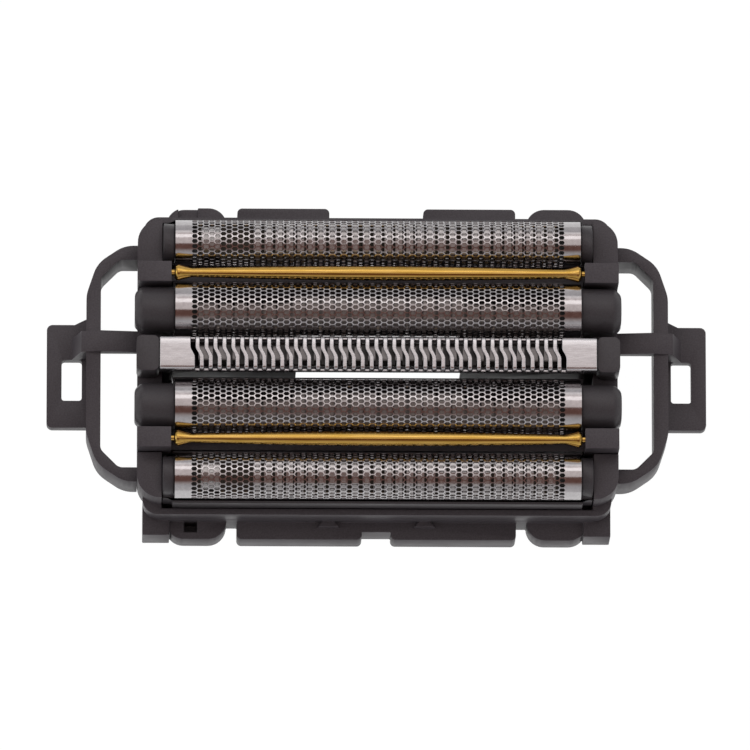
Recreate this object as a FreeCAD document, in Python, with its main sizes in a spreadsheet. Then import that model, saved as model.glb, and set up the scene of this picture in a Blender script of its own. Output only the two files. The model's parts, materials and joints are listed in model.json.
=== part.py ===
import FreeCAD, Part
import math
import os
import Sketcher

# Shaver foil head with five floating cutting elements, in millimetres.
# X runs along the foils, Y to the rear and Z up to the skin side. The origin is the
# middle of the footprint, on the surface that the base frame stands on.

doc = FreeCAD.newDocument("shaver_foil_head")

# Driving sizes: alias, value, meaning.
SIZE_ROWS = [
    ("base_inset", 1.3, "base frame, shorter than the head at each end"),
    ("body_half_depth", 15.75, "base and head frame, half depth of their walls"),
    ("base_height", 5.0, "base frame, height of its wall"),
    ("base_wall", 1.5, "base frame, wall"),
    ("base_corner", 1.6, "base frame, corner radius"),
    ("tab_overhang", 1.85, "skirt tabs, reach beyond the wall"),
    ("skirt_height", 3.8, "skirt tabs, height"),
    ("round_tab_width", 6.3, "rounded skirt tab, width"),
    ("round_tab_inset", 1.7, "rounded skirt tab, distance from the wall's end"),
    ("skirt_round_corner", 1.9, "rounded skirt tab, corner radius"),
    ("skirt_wide_corner", 0.5, "wide skirt tab, corner radius"),
    ("arrow_place", 5.0, "arrow ribs on the front wide tabs, place"),
    ("arrow_half_width", 1.1, "arrow ribs, half width"),
    ("arrow_reach", 0.6, "arrow ribs, reach from the wall"),
    ("arrow_height", 4.4, "arrow ribs, top"),
    ("skirt_rear_inner", 4.9, "rear wide skirt tab, inner side"),
    ("skirt_front_inner", 1.5, "front wide skirt tab, inner side"),
    ("tab_gap", 1.1, "gap between two skirt tabs"),
    ("bar_overhang", 1.05, "bar between the front wide tabs, reach beyond the wall"),
    ("foot_width", 2.8, "corner foot, width"),
    ("foot_overlap", 1.85, "corner foot, reach behind the wall's face"),
    ("foot_inset", 0.3, "corner foot, shorter than the tabs"),
    ("foot_height", 4.4, "corner foot, height"),
    ("clip_window_inset", 3.7, "clip window, middle from the tab's inner side"),
    ("clip_window_width", 1.35, "clip window, width"),
    ("head_half_length", 24.9, "head frame, half length over its end walls"),
    ("tier_inset", 0.6, "lower tier, shorter than the end walls"),
    ("head_floor", 0.6, "head frame, ledge that the holders rest on"),
    ("head_tier_height", 2.6, "head frame, height of its lower tier"),
    ("head_wall", 0.6, "head frame, long wall"),
    ("end_wall_height", 4.6, "head frame, height of its end walls"),
    ("end_wall_inset", 1.05, "end walls, narrower than the frame"),
    ("end_wall_thick", 2.55, "head frame, thickness of its end walls"),
    ("end_corner", 2.4, "head frame, corner radius of its end walls"),
    ("cover_height", 6.2, "corner covers, height over the base"),
    ("bracket_height", 8.5, "roller brackets, height over the base"),
    ("bracket_half_width", 1.05, "roller brackets, half width"),
    ("rib_height", 4.8, "ribs under the rollers, height over the base"),
    ("bracket_length", 3.5, "roller brackets, length"),
    ("holder_gap", 0.15, "gap between a holder and its guides"),
    ("wall_gap", 0.1, "gap between an outer holder and the long wall"),
    ("rib_room", 1.25, "room for a rib between two holders"),
    ("outer_foil_radius", 2.4, "outer foils, radius of the arch"),
    ("inner_foil_radius", 2.85, "inner foils, radius of the arch"),
    ("outer_foil_top", 13.0, "outer foils, height of the crown"),
    ("inner_foil_top", 14.2, "inner foils, height of the crown"),
    ("foil_end_gap", 0.4, "foils, end to the bracket's inner face"),
    ("foil_sheet", 0.1, "foils, sheet thickness"),
    ("foil_leg", 2.4, "foils, leg below the arch"),
    ("holder_rail", 0.35, "holders, side rail"),
    ("holder_rail_drop", 0.6, "holders, rail top below the arch's axis"),
    ("holder_lip", 0.6, "holders, lip under the cutter carrier"),
    ("holder_lip_thick", 0.5, "holders, height of the lip"),
    ("holder_end_lip", 0.3, "holders, lip at each end"),
    ("holder_end", 1.2, "holders, end wall"),
    ("holder_end_half_width", 2.3, "holders, half width of the end walls"),
    ("cheek_drop", 0.4, "outer holders, cheek top below the crown"),
    ("cap_overhang", 0.3, "inner holders, end caps beyond the end wall"),
    ("cap_radius", 2.35, "inner holders, radius of the end caps"),
    ("cap_drop", 0.45, "inner holders, cap top below the crown"),
    ("cap_skirt", 1.6, "inner holders, cap side below its arch"),
    ("cap_round", 0.7, "inner holders, rounding of the cap's outer end"),
    ("running_gap", 0.1, "gap between a foil and its cutter"),
    ("slide_gap", 0.06, "gap between a slide and its guide"),
    ("stroke_room", 2.4, "cutters, room for the stroke at each end"),
    ("fin_start_inset", 5.7, "outer cutters, cutter end to the first fin"),
    ("fin_pitch", 1.13, "outer cutters, fin pitch"),
    ("fin_thick", 0.7, "outer cutters, fin thickness"),
    ("fin_root", 0.7, "cutters, fin root below the arch's axis"),
    ("spine_height", 0.7, "cutters, height of the spine"),
    ("end_block_width", 1.9, "outer cutters, width of the end block"),
    ("end_block_inset", 0.3, "outer cutters, cutter end to the end block"),
    ("end_block_drop", 0.45, "outer cutters, end block lower than the fins"),
    ("groove_pitch", 1.5, "inner cutters, groove pitch"),
    ("groove_width", 0.28, "inner cutters, groove width"),
    ("groove_depth", 1.6, "inner cutters, groove depth"),
    ("carrier_overhang", 0.9, "cutter carriers, longer than the cutter at each end"),
    ("socket_radius", 0.95, "cutter carriers, drive socket"),
    ("socket_depth", 1.6, "cutter carriers, depth of the drive socket"),
    ("roller_offset", 0.175, "rollers, axis from the rib's middle"),
    ("roller_height", 12.75, "rollers, height of their axis"),
    ("roller_end_gap", 0.3, "rollers, end to the bracket's inner face"),
    ("roller_end_radius", 0.84, "rollers, radius of the flared ends"),
    ("roller_neck_radius", 0.48, "rollers, radius of the necks"),
    ("flare_length", 1.6, "rollers, length of the flared ends"),
    ("roller_mid_radius", 0.75, "rollers, radius in the middle"),
    ("pivot_radius", 0.32, "rollers, pivot radius"),
    ("pivot_length", 0.8, "rollers, pivot in its bracket"),
    ("pivot_gap", 0.05, "rollers, pivot clearance"),
    ("slit_top", 14.2, "slit blade, height of its top"),
    ("slit_half_width", 1.77, "slit blade, half width"),
    ("slit_inset", 2.3, "slit blade, shorter than the head at each end"),
    ("slit_wall_height", 1.5, "slit blade, height of its walls"),
    ("slit_sheet", 0.25, "slit blade, sheet"),
    ("slit_edge", 0.35, "slit blade, edge chamfer"),
    ("slit_pitch", 0.924, "slit blade, pitch of the bars"),
    ("slit_bar", 0.43, "slit blade, width of a bar"),
    ("slit_shift", 0.44, "slit blade, side step of a bar"),
    ("slit_bend_rear", 0.65, "slit blade, rear end of the step"),
    ("slit_bend_front", 0.5, "slit blade, front end of the step"),
    ("slit_depth", 0.75, "slit blade, depth of the slots down its edges"),
    ("slit_land", 3.2, "slit blade, end land to the middle of the first slot"),
    ("block_overhang", 0.1, "slit holder, end blocks beyond the end wall"),
    ("block_half_width", 1.85, "slit holder, half width of the end blocks"),
    ("block_round", 0.6, "slit holder, corner radius of the end blocks"),
    ("block_height", 4.1, "slit holder, height of the end blocks"),
    ("block_drop", 0.25, "slit holder, block top below the blade's top"),
    ("slit_rail", 0.25, "slit holder, rails inside the blade"),
    ("slit_rail_height", 0.5, "slit holder, height of the rails"),
    ("shelf_inner", 12.6, "slit holder, inner end of the spring shelf"),
    ("skirt_inner", 8.5, "slit holder, inner end of the side skirts"),
    ("shelf_top", 8.6, "slit holder, top of the spring shelf"),
    ("shelf_thick", 0.8, "slit holder, thickness of the spring shelf"),
    ("comb_sheet", 0.2, "slit cutter, sheet"),
    ("comb_height", 1.0, "slit cutter, height"),
    ("comb_pitch", 1.4, "slit cutter, pitch of its teeth"),
    ("comb_tooth", 0.75, "slit cutter, width of a tooth"),
    ("comb_shoulder", 0.45, "slit cutter, slope of the teeth's shoulders"),
    ("comb_slot_depth", 0.7, "slit cutter, depth of the gaps between teeth"),
    ("slider_half_width", 0.8, "slit slider, half width"),
    ("slider_bottom", 11.7, "slit slider, underside"),
    ("fork_inner", 9.2, "slit slider, inner side of the drive leg"),
    ("fork_outer", 11.2, "slit slider, outer side of the drive leg"),
    ("fork_bottom", 6.6, "slit slider, foot of the drive leg"),
    ("spring_place", 15.0, "slit springs, place"),
    ("spring_radius", 0.95, "slit springs, mean radius"),
    ("spring_wire", 0.13, "slit springs, wire radius"),
    ("spring_turns", 3.0, "slit springs, turns"),
    ("seat_gap", 0.02, "gap at each end of a spring"),
    ("arm_top", 8.5, "release arms, top"),
    ("arm_bottom", 3.0, "release arms, underside"),
    ("arm_thick", 1.5, "release arms, thickness of the loop"),
    ("arm_reach", 5.3, "release arms, reach of the loop beyond the end wall"),
    ("arm_inset", 3.25, "release arms, narrower than the frame"),
    ("arm_shoulder", 3.9, "release arms, start of the outer corner along X"),
    ("arm_bow_x", 1.1, "release arms, outer corner, middle point in from the side"),
    ("arm_bow_y", 1.9, "release arms, outer corner, middle point in from the end"),
    ("arm_flank", 5.2, "release arms, end of the outer corner along Y"),
    ("arm_inner_corner", 1.9, "release arms, size of the slanted inner corner"),
    ("arm_outer_bend", 3.2, "release arms, outer bend radius"),
    ("arm_inner_bend", 1.0, "release arms, inner bend radius"),
    ("tenon_length", 1.0, "release arms, tenon in the end wall"),
    ("tenon_inset", 0.3, "release arms, tenon smaller than the arm"),
    ("tenon_height", 2.0, "release arms, height of the tenon"),
    ("ring_reach", 4.1, "grip rings, reach beyond the loop"),
    ("ring_front", 6.0, "grip rings, front end"),
    ("ring_rear", 4.9, "grip rings, rear end"),
    ("ring_top", 4.5, "grip rings, top"),
    ("ring_thick", 1.5, "grip rings, thickness"),
    ("ring_bar", 1.55, "grip rings, width of the outer bar"),
    ("ring_web", 0.45, "grip rings, strip between the loop and the hole"),
    ("ring_hole_front", 3.15, "grip rings, front end of the hole"),
    ("ring_corner", 0.6, "grip rings, corner radius"),
    ("ring_hole_corner", 0.3, "grip rings, corner radius of the hole"),
    ("ring_gusset", 1.2, "grip rings, fillet to the loop"),
    ("strap_place", 2.3, "straps, middle of their width"),
    ("strap_half_width", 1.1, "straps, half width"),
    ("strap_thick", 0.9, "straps, thickness"),
    ("strap_rise", 0.5, "straps, rise over the loop"),
]

# Sizes that follow from the driving ones: alias, sheet formula, meaning.
FOLLOWING_ROWS = [
    ("base_half_length", "=head_half_length - base_inset", "base frame, half length of its wall"),
    ("skirt_reach", "=body_half_depth + tab_overhang", "skirt tabs, reach from the middle"),
    ("skirt_round_outer", "=base_half_length - round_tab_inset", "rounded skirt tab, outer side"),
    ("skirt_round_inner", "=skirt_round_outer - round_tab_width", "rounded skirt tab, inner side"),
    ("skirt_wide_outer", "=skirt_round_inner - tab_gap", "wide skirt tab, outer side"),
    ("skirt_bar_reach", "=body_half_depth + bar_overhang", "bar between the front wide tabs, reach"),
    ("foot_back", "=body_half_depth - foot_overlap", "corner foot, rear side"),
    ("foot_front", "=skirt_reach - foot_inset", "corner foot, front side"),
    (
        "clip_window_middle",
        "=skirt_round_inner + clip_window_inset",
        "clip window in the front left tab, place",
    ),
    (
        "head_tier_half_length",
        "=head_half_length - tier_inset",
        "head frame, half length of its lower tier",
    ),
    ("foot_outer", "=head_tier_half_length", "corner foot, outer side"),
    ("foot_inner", "=foot_outer - foot_width", "corner foot, inner side"),
    ("end_wall_half_depth", "=body_half_depth - end_wall_inset", "head frame, half depth of its end walls"),
    ("bracket_inner", "=head_half_length - bracket_length", "roller brackets, inner face"),
    (
        "outer_foil_place",
        "=body_half_depth - head_wall - wall_gap - holder_rail - outer_foil_radius",
        "outer foils, distance of their axis from the middle",
    ),
    (
        "inner_foil_place",
        "=outer_foil_place - outer_foil_radius - inner_foil_radius - holder_rail * 2 - rib_room",
        "inner foils, distance of their axis from the middle",
    ),
    ("foil_half_length", "=bracket_inner - foil_end_gap", "foils, half length"),
    ("cap_outer", "=head_half_length + cap_overhang", "inner holders, outer end of the end caps"),
    ("cutter_half_length", "=foil_half_length - stroke_room", "cutters, half length"),
    ("fin_start", "=cutter_half_length - fin_start_inset", "outer cutters, first fin from the middle"),
    ("end_block_outer", "=cutter_half_length - end_block_inset", "outer cutters, end block, outer side"),
    ("end_block_inner", "=end_block_outer - end_block_width", "outer cutters, end block, inner side"),
    (
        "roller_place",
        "=outer_foil_place - outer_foil_radius - holder_rail - rib_room / 2 - roller_offset",
        "rollers, distance of their axis from the middle",
    ),
    ("roller_half_length", "=bracket_inner - roller_end_gap", "rollers, half length without pivots"),
    ("roller_neck_place", "=roller_half_length - flare_length", "rollers, place of the necks"),
    ("pivot_end", "=bracket_inner + pivot_length", "rollers, end of the pivot"),
    ("slit_half_length", "=head_half_length - slit_inset", "slit blade, half length"),
    ("block_outer", "=head_half_length + block_overhang", "slit holder, outer end of the end blocks"),
    ("comb_half_length", "=cutter_half_length", "slit cutter, half length"),
    ("arm_outer", "=head_half_length + arm_reach", "release arms, outer face of the loop"),
    ("arm_side", "=body_half_depth - arm_inset", "release arms, half depth of the loop"),
    ("ring_outer", "=arm_outer + ring_reach", "grip rings, outer face"),
]

ORIGIN_POINT = (-1, 1)
ARCH_FACETS = 6
BARREL_STEPS = 3
FLARE_STEPS = 3
TURNED_SIDES = 18
COIL_STEPS = 12
WIRE_SIDES = 6
TURN_Z_TO_X = FreeCAD.Rotation(FreeCAD.Vector(0, 1, 0), 90)


class Size:
    """A length with the sheet formula that gives it."""

    def __init__(self, value, formula):
        self.value = float(value)
        self.formula = formula

    def __add__(self, other):
        other = as_size(other)
        return Size(self.value + other.value, f"({self.formula} + {other.formula})")

    def __sub__(self, other):
        other = as_size(other)
        return Size(self.value - other.value, f"({self.formula} - {other.formula})")

    def __rsub__(self, other):
        return as_size(other) - self

    def __mul__(self, factor):
        factor = as_size(factor)
        return Size(self.value * factor.value, f"({self.formula} * {factor.formula})")

    def __truediv__(self, divisor):
        divisor = as_size(divisor)
        return Size(self.value / divisor.value, f"({self.formula} / {divisor.formula})")

    def __neg__(self):
        return Size(-self.value, f"(0 - {self.formula})")

    __radd__ = __add__
    __rmul__ = __mul__


def as_size(number):
    """Return a plain number as a Size."""
    if isinstance(number, Size):
        return number
    return Size(number, f"({number})")


class SizeSheet:
    """The sheet of driving sizes. Each alias is read as an attribute."""

    def __init__(self, rows):
        self.sheet = doc.addObject("Spreadsheet::Sheet", "Sizes")
        self.sizes = {}
        for row, (alias, value, meaning) in enumerate(rows, start=1):
            self.sheet.set(f"A{row}", meaning)
            self.sheet.set(f"B{row}", str(value))
            self.sheet.setAlias(f"B{row}", alias)
        doc.recompute()
        for alias, _, _ in rows:
            self.sizes[alias] = Size(self.sheet.get(alias), f"Sizes.{alias}")

    def __getattr__(self, alias):
        return self.sizes[alias]


s = SizeSheet(SIZE_ROWS + FOLLOWING_ROWS)
ZERO = Size(0, "0")

# Places that several pieces share, worked out from the driving sizes.
outer_axis = s.outer_foil_top - s.outer_foil_radius
inner_axis = s.inner_foil_top - s.inner_foil_radius
ledge_top = s.base_height + s.head_floor
end_wall_inner = s.head_half_length - s.end_wall_thick
holder_inner_end = s.foil_half_length + s.slide_gap
holder_outer_end = holder_inner_end + s.holder_end
bracket_place = s.roller_place
cover_inner_side = s.roller_place + s.bracket_half_width + s.holder_gap
cap_bottom = s.inner_foil_top - s.cap_drop - s.cap_radius - s.cap_skirt
blade_inner_half = s.slit_half_width - s.slit_sheet
comb_half_width = blade_inner_half - s.slit_rail - s.slide_gap
comb_top = s.slit_top - s.slit_sheet - s.slide_gap
comb_bottom = comb_top - s.comb_height
slider_top = comb_bottom


def bind(feature, name, size):
    """Give a property its value and tie it to the sheet."""
    feature.setExpression(name, size.formula)


def start_body(label):
    """Return a new body with its own label."""
    body = doc.addObject("PartDesign::Body", label)
    body.Label = label
    return body


def origin_feature(body, role):
    """Return one of a body's origin planes or axes."""
    for feature in body.Origin.OriginFeatures:
        if feature.Role == role:
            return feature
    raise LookupError(role)


def start_sketch(body, name, plane, offset):
    """Return a sketch on an origin plane, moved along the plane's normal."""
    sketch = body.newObject("Sketcher::SketchObject", name)
    sketch.AttachmentSupport = [(origin_feature(body, plane), "")]
    sketch.MapMode = "FlatFace"
    sketch.AttachmentOffset = FreeCAD.Placement(
        FreeCAD.Vector(0, 0, offset.value), FreeCAD.Rotation()
    )
    bind(sketch, "AttachmentOffset.Base.z", offset)
    return sketch


def arc_between(start, end, radius):
    """Return the arc from start to end, turning left for a positive radius."""
    middle = (start + end) * 0.5
    chord = end - start
    half = chord.Length / 2
    rise = math.sqrt(max(radius * radius - half * half, 0))
    normal = FreeCAD.Vector(-chord.y, chord.x, 0).normalize()
    centre = middle + normal * math.copysign(rise, radius)
    first, last = (start, end) if radius > 0 else (end, start)
    angles = [math.atan2(p.y - centre.y, p.x - centre.x) for p in (first, last)]
    if angles[1] < angles[0]:
        angles[1] += 2 * math.pi
    circle = Part.Circle(centre, FreeCAD.Vector(0, 0, 1), abs(radius))
    return Part.ArcOfCircle(circle, angles[0], angles[1])


def draw_outline(sketch, points, arcs=None):
    """Draw a closed outline whose corners and radii are tied to the sheet.

    Edge i runs from point i to the next. Where arcs has i, the edge is an arc that
    turns left for a positive radius and right for a negative one.
    """
    arcs = arcs or {}
    corners = [FreeCAD.Vector(x.value, y.value, 0) for x, y in points]
    count = len(points)
    ends = []
    for i in range(count):
        start, end = corners[i], corners[(i + 1) % count]
        if i in arcs:
            edge = sketch.addGeometry(arc_between(start, end, arcs[i].value))
            ends.append((edge, 1, 2) if arcs[i].value > 0 else (edge, 2, 1))
        else:
            edge = sketch.addGeometry(Part.LineSegment(start, end))
            ends.append((edge, 1, 2))
    for i in range(count):
        edge, _, tail = ends[i]
        following, head, _ = ends[(i + 1) % count]
        sketch.addConstraint(Sketcher.Constraint("Coincident", edge, tail, following, head))
    for i, (x, y) in enumerate(points):
        edge, head, _ = ends[i]
        for kind, place in (("DistanceX", x), ("DistanceY", y)):
            number = sketch.addConstraint(
                Sketcher.Constraint(kind, *ORIGIN_POINT, edge, head, place.value)
            )
            bind(sketch, f"Constraints[{number}]", place)
    for i, radius in arcs.items():
        if radius.value < 0:
            radius = -radius
        number = sketch.addConstraint(Sketcher.Constraint("Radius", ends[i][0], radius.value))
        bind(sketch, f"Constraints[{number}]", radius)


def rectangle(x_low, x_high, y_low, y_high):
    """Return the four corners of a rectangle."""
    return [(x_low, y_low), (x_high, y_low), (x_high, y_high), (x_low, y_high)]


def rounded_rectangle(x_low, x_high, y_low, y_high, radius):
    """Return the corners and arcs of a rectangle with rounded corners."""
    points = [
        (x_low + radius, y_low), (x_high - radius, y_low),
        (x_high, y_low + radius), (x_high, y_high - radius),
        (x_high - radius, y_high), (x_low + radius, y_high),
        (x_low, y_high - radius), (x_low, y_low + radius),
    ]
    return points, {1: radius, 3: radius, 5: radius, 7: radius}


def extrude(body, name, sketch, length, cut=False):
    """Pad a sketch along its normal, or cut it away in that direction."""
    feature = body.newObject("PartDesign::Pocket" if cut else "PartDesign::Pad", name)
    feature.Profile = sketch
    feature.Reversed = cut
    feature.Length = length.value
    bind(feature, "Length", length)
    return feature


def block(body, name, loops, low, high, plane="XY_Plane", cut=False):
    """Pad or cut the given outlines between two levels of a plane's normal."""
    sketch = start_sketch(body, name + "_sketch", plane, low)
    for points, arcs in loops:
        draw_outline(sketch, points, arcs)
    return extrude(body, name, sketch, high - low, cut)


def both_sides(x_low, x_high, y_low, y_high):
    """Return a rectangle and its mirror image across X = 0, as loops."""
    return [
        (rectangle(x_low, x_high, y_low, y_high), None),
        (rectangle(-x_high, -x_low, y_low, y_high), None),
    ]


def four_corners(x_low, x_high, y_low, y_high):
    """Return a rectangle and its images in the other three quarters, as loops."""
    return both_sides(x_low, x_high, y_low, y_high) + both_sides(x_low, x_high, -y_high, -y_low)


def arch_outline(radius, axis, bottom):
    """Return the outline of a solid arch with straight sides."""
    points = [
        (-radius, bottom), (radius, bottom), (radius, axis), (ZERO, axis + radius), (-radius, axis),
    ]
    return points, {2: radius, 3: radius}


def facet_arch_outline(radius, axis, bottom):
    """Return the outline of a solid arch whose crown is ground in flat facets."""
    points = [(-radius, bottom), (radius, bottom)]
    for i in range(ARCH_FACETS + 1):
        angle = math.pi * i / ARCH_FACETS
        points.append((radius * math.cos(angle), axis + radius * math.sin(angle)))
    return points, {}


def repeat_along_x(body, name, feature, pitch, count):
    """Repeat a feature along X, count times in all."""
    pattern = body.newObject("PartDesign::LinearPattern", name)
    pattern.Originals = [feature]
    pattern.Direction = (origin_feature(body, "X_Axis"), [""])
    pattern.Mode = "Spacing"
    pattern.Offset = pitch.value
    bind(pattern, "Offset", pitch)
    pattern.Occurrences = count
    body.Tip = pattern
    return pattern


def dress_edges(body, name, feature, size, wanted, kind="Fillet"):
    """Round or chamfer the edges of a feature that the test picks out."""
    doc.recompute()
    names = [
        f"Edge{i}" for i, edge in enumerate(feature.Shape.Edges, start=1) if wanted(edge)
    ]
    dressing = body.newObject(f"PartDesign::{kind}", name)
    dressing.Base = (feature, names)
    sized = "Radius" if kind == "Fillet" else "Size"
    setattr(dressing, sized, size.value)
    bind(dressing, sized, size)
    return dressing


def place_body(body, y):
    """Move a finished body to its place across the head."""
    body.Placement = FreeCAD.Placement(FreeCAD.Vector(0, y.value, 0), FreeCAD.Rotation())
    bind(body, "Placement.Base.y", y)


def is_upright_at(edge, x, y):
    """Tell whether an edge is upright at plus or minus x, y."""
    box = edge.BoundBox
    upright = box.XLength < 1e-6 and box.YLength < 1e-6
    return upright and abs(abs(box.XMin) - x) < 1e-4 and abs(abs(box.YMin) - y) < 1e-4


def make_base_frame():
    """Lower frame: an open ring with skirt tabs and corner feet."""
    body = start_body("base_frame")
    length, depth = s.base_half_length, s.body_half_depth
    inner = (length - s.base_wall, depth - s.base_wall)
    outline = rounded_rectangle(-length, length, -depth, depth, s.base_corner)
    block(body, "wall", [outline], ZERO, s.base_height)
    root = depth - s.base_wall
    reach = s.skirt_reach
    wide_tabs = [
        (s.skirt_rear_inner, s.skirt_wide_outer, root, reach),
        (-s.skirt_wide_outer, -s.skirt_rear_inner, root, reach),
        (s.skirt_front_inner, s.skirt_wide_outer, -reach, -root),
        (-s.skirt_wide_outer, -s.skirt_front_inner, -reach, -root),
    ]
    tabs = [rounded_rectangle(*sides, s.skirt_wide_corner) for sides in wide_tabs]
    block(body, "wide_tabs", tabs, ZERO, s.skirt_height)
    arrows = []
    for middle in (s.arrow_place, -s.arrow_place):
        face = -depth - s.arrow_reach
        tip = s.base_wall / 2 - depth
        arrow = [
            (middle - s.arrow_half_width, face), (middle + s.arrow_half_width, face), (middle, tip),
        ]
        arrows.append((arrow, None))
    block(body, "arrow_ribs", arrows, s.skirt_height - s.base_wall, s.arrow_height)
    deep = root - s.base_wall
    for side, (low, high) in {"rear": (deep, reach), "front": (-reach, -deep)}.items():
        loops = []
        for x_low, x_high in (
            (s.skirt_round_inner, s.skirt_round_outer),
            (-s.skirt_round_outer, -s.skirt_round_inner),
        ):
            loops.append(rounded_rectangle(x_low, x_high, low, high, s.skirt_round_corner))
        block(body, f"round_tabs_{side}", loops, ZERO, s.skirt_height)
    bar = rectangle(-s.skirt_front_inner, s.skirt_front_inner, -s.skirt_bar_reach, -root)
    block(body, "front_bar", [(bar, None)], ZERO, s.skirt_height)
    feet = both_sides(s.foot_inner, s.foot_outer, -s.foot_front, -s.foot_back)
    block(body, "feet", feet, ZERO, s.foot_height)
    window = rectangle(-inner[0], inner[0], -inner[1], inner[1])
    block(body, "inside", [(window, None)], ZERO, s.base_height, cut=True)
    half = s.clip_window_width / 2
    x_middle = -s.clip_window_middle
    clip = rectangle(x_middle - half, x_middle + half, -reach + s.base_wall / 2, -depth)
    block(body, "clip_window", [(clip, None)], s.base_wall, s.skirt_height, cut=True)
    notch = rectangle(x_middle - s.clip_window_width, x_middle + half, depth, reach)
    block(body, "rear_recess", [(notch, None)], s.base_wall * 2, s.skirt_height, cut=True)
    return body


def make_head_frame():
    """Upper frame: ledge ring, end walls, corner covers and roller brackets."""
    body = start_body("head_frame")
    low = s.base_height
    depth = s.body_half_depth
    tier = rounded_rectangle(
        -s.head_tier_half_length, s.head_tier_half_length, -depth, depth, s.base_corner
    )
    block(body, "tier", [tier], low, low + s.head_tier_height)
    inner_depth = depth - s.head_wall
    room = rectangle(-end_wall_inner, end_wall_inner, -inner_depth, inner_depth)
    block(body, "room", [(room, None)], ledge_top, low + s.head_tier_height, cut=True)
    opening = rectangle(
        -s.bracket_inner + s.holder_gap, s.bracket_inner - s.holder_gap, -inner_depth, inner_depth
    )
    block(body, "opening", [(opening, None)], low, ledge_top, cut=True)
    outer, end_depth = s.head_half_length, s.end_wall_half_depth
    corner = s.end_corner
    walls = []
    covers = []
    for side in (1, -1):
        turn = corner if side > 0 else -corner
        points = [
            (side * end_wall_inner, -end_depth), (side * (outer - corner), -end_depth),
            (side * outer, corner - end_depth), (side * outer, end_depth - corner),
            (side * (outer - corner), end_depth), (side * end_wall_inner, end_depth),
        ]
        walls.append((points, {1: turn, 3: turn}))
        for face in (1, -1):
            cover_turn = turn if face > 0 else -turn
            cover = [
                (side * end_wall_inner, face * cover_inner_side),
                (side * outer, face * cover_inner_side),
                (side * outer, face * (end_depth - corner)),
                (side * (outer - corner), face * end_depth),
                (side * end_wall_inner, face * end_depth),
            ]
            covers.append((cover, {2: cover_turn}))
    block(body, "end_walls", walls, low, low + s.end_wall_height)
    block(body, "covers", covers, low, low + s.cover_height)
    brackets = four_corners(
        s.bracket_inner, s.head_half_length,
        bracket_place - s.bracket_half_width, bracket_place + s.bracket_half_width,
    )
    block(body, "brackets", brackets, low, low + s.bracket_height)
    rib_far = s.outer_foil_place - s.outer_foil_radius - s.holder_rail - s.holder_gap
    rib_near = s.inner_foil_place + s.inner_foil_radius + s.holder_rail + s.holder_gap
    rib_end = s.bracket_inner + s.holder_gap
    ribs = [
        (rectangle(-rib_end, rib_end, rib_near, rib_far), None),
        (rectangle(-rib_end, rib_end, -rib_far, -rib_near), None),
    ]
    block(body, "ribs", ribs, low, low + s.rib_height)
    bores = start_sketch(body, "pivot_bores_sketch", "YZ_Plane", s.bracket_inner - s.holder_gap)
    radius = s.pivot_radius + s.pivot_gap
    for place in (s.roller_place, -s.roller_place):
        draw_circle(bores, place, s.roller_height, radius)
    bore_depth = s.pivot_end - s.bracket_inner + s.holder_gap * 3
    right = extrude(body, "pivot_bores", bores, bore_depth, cut=True)
    left = body.newObject("PartDesign::Mirrored", "pivot_bores_left")
    left.Originals = [right]
    left.MirrorPlane = (origin_feature(body, "YZ_Plane"), [""])
    body.Tip = left
    fit = s.pivot_gap
    arm_low = s.arm_side - s.arm_thick + s.tenon_inset - fit
    arm_high = s.arm_side - s.tenon_inset + fit
    sockets = four_corners(
        s.head_half_length - s.tenon_length - fit, s.head_half_length, arm_low, arm_high
    )
    block(body, "arm_sockets", sockets, ledge_top - fit, ledge_top + s.tenon_height + fit, cut=True)
    return body


def draw_circle(sketch, x, y, radius):
    """Draw a circle whose centre and radius are tied to the sheet."""
    centre = FreeCAD.Vector(x.value, y.value, 0)
    circle = sketch.addGeometry(Part.Circle(centre, FreeCAD.Vector(0, 0, 1), radius.value))
    for constraint, size in (
        (Sketcher.Constraint("DistanceX", *ORIGIN_POINT, circle, 3, x.value), x),
        (Sketcher.Constraint("DistanceY", *ORIGIN_POINT, circle, 3, y.value), y),
        (Sketcher.Constraint("Radius", circle, radius.value), radius),
    ):
        number = sketch.addConstraint(constraint)
        bind(sketch, f"Constraints[{number}]", size)


def make_foil(label, place, radius, axis):
    """A thin steel sheet bent to an arch with two straight legs."""
    body = start_body(label)
    inner = radius - s.foil_sheet
    bottom = axis - s.foil_leg
    points = [
        (-radius, bottom), (-inner, bottom), (-inner, axis), (ZERO, axis + inner), (inner, axis),
        (inner, bottom), (radius, bottom), (radius, axis), (ZERO, axis + radius), (-radius, axis),
    ]
    arcs = {2: -inner, 3: -inner, 7: radius, 8: radius}
    block(body, "sheet", [(points, arcs)], -s.foil_half_length, s.foil_half_length, "YZ_Plane")
    place_body(body, place)
    return body


def add_holder_ring(body, radius, axis, rail_top):
    """Add the ring that carries a foil: two rails, two end walls and the lips."""
    outer = radius + s.holder_rail
    end = s.bracket_inner - s.holder_gap
    ring = rectangle(-end, end, -outer, outer)
    block(body, "ring", [(ring, None)], ledge_top, rail_top)
    half = s.holder_end_half_width
    ends = rectangle(-holder_outer_end, holder_outer_end, -half, half)
    block(body, "ends", [(ends, None)], ledge_top, rail_top)
    slot = rectangle(-holder_inner_end, holder_inner_end, -radius, radius)
    lip_top = ledge_top + s.holder_lip_thick
    block(body, "foil_slot", [(slot, None)], lip_top, rail_top, cut=True)
    free = radius - s.holder_lip
    window_end = holder_inner_end - s.holder_end_lip
    window = rectangle(-window_end, window_end, -free, free)
    block(body, "window", [(window, None)], ledge_top, lip_top, cut=True)


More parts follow.
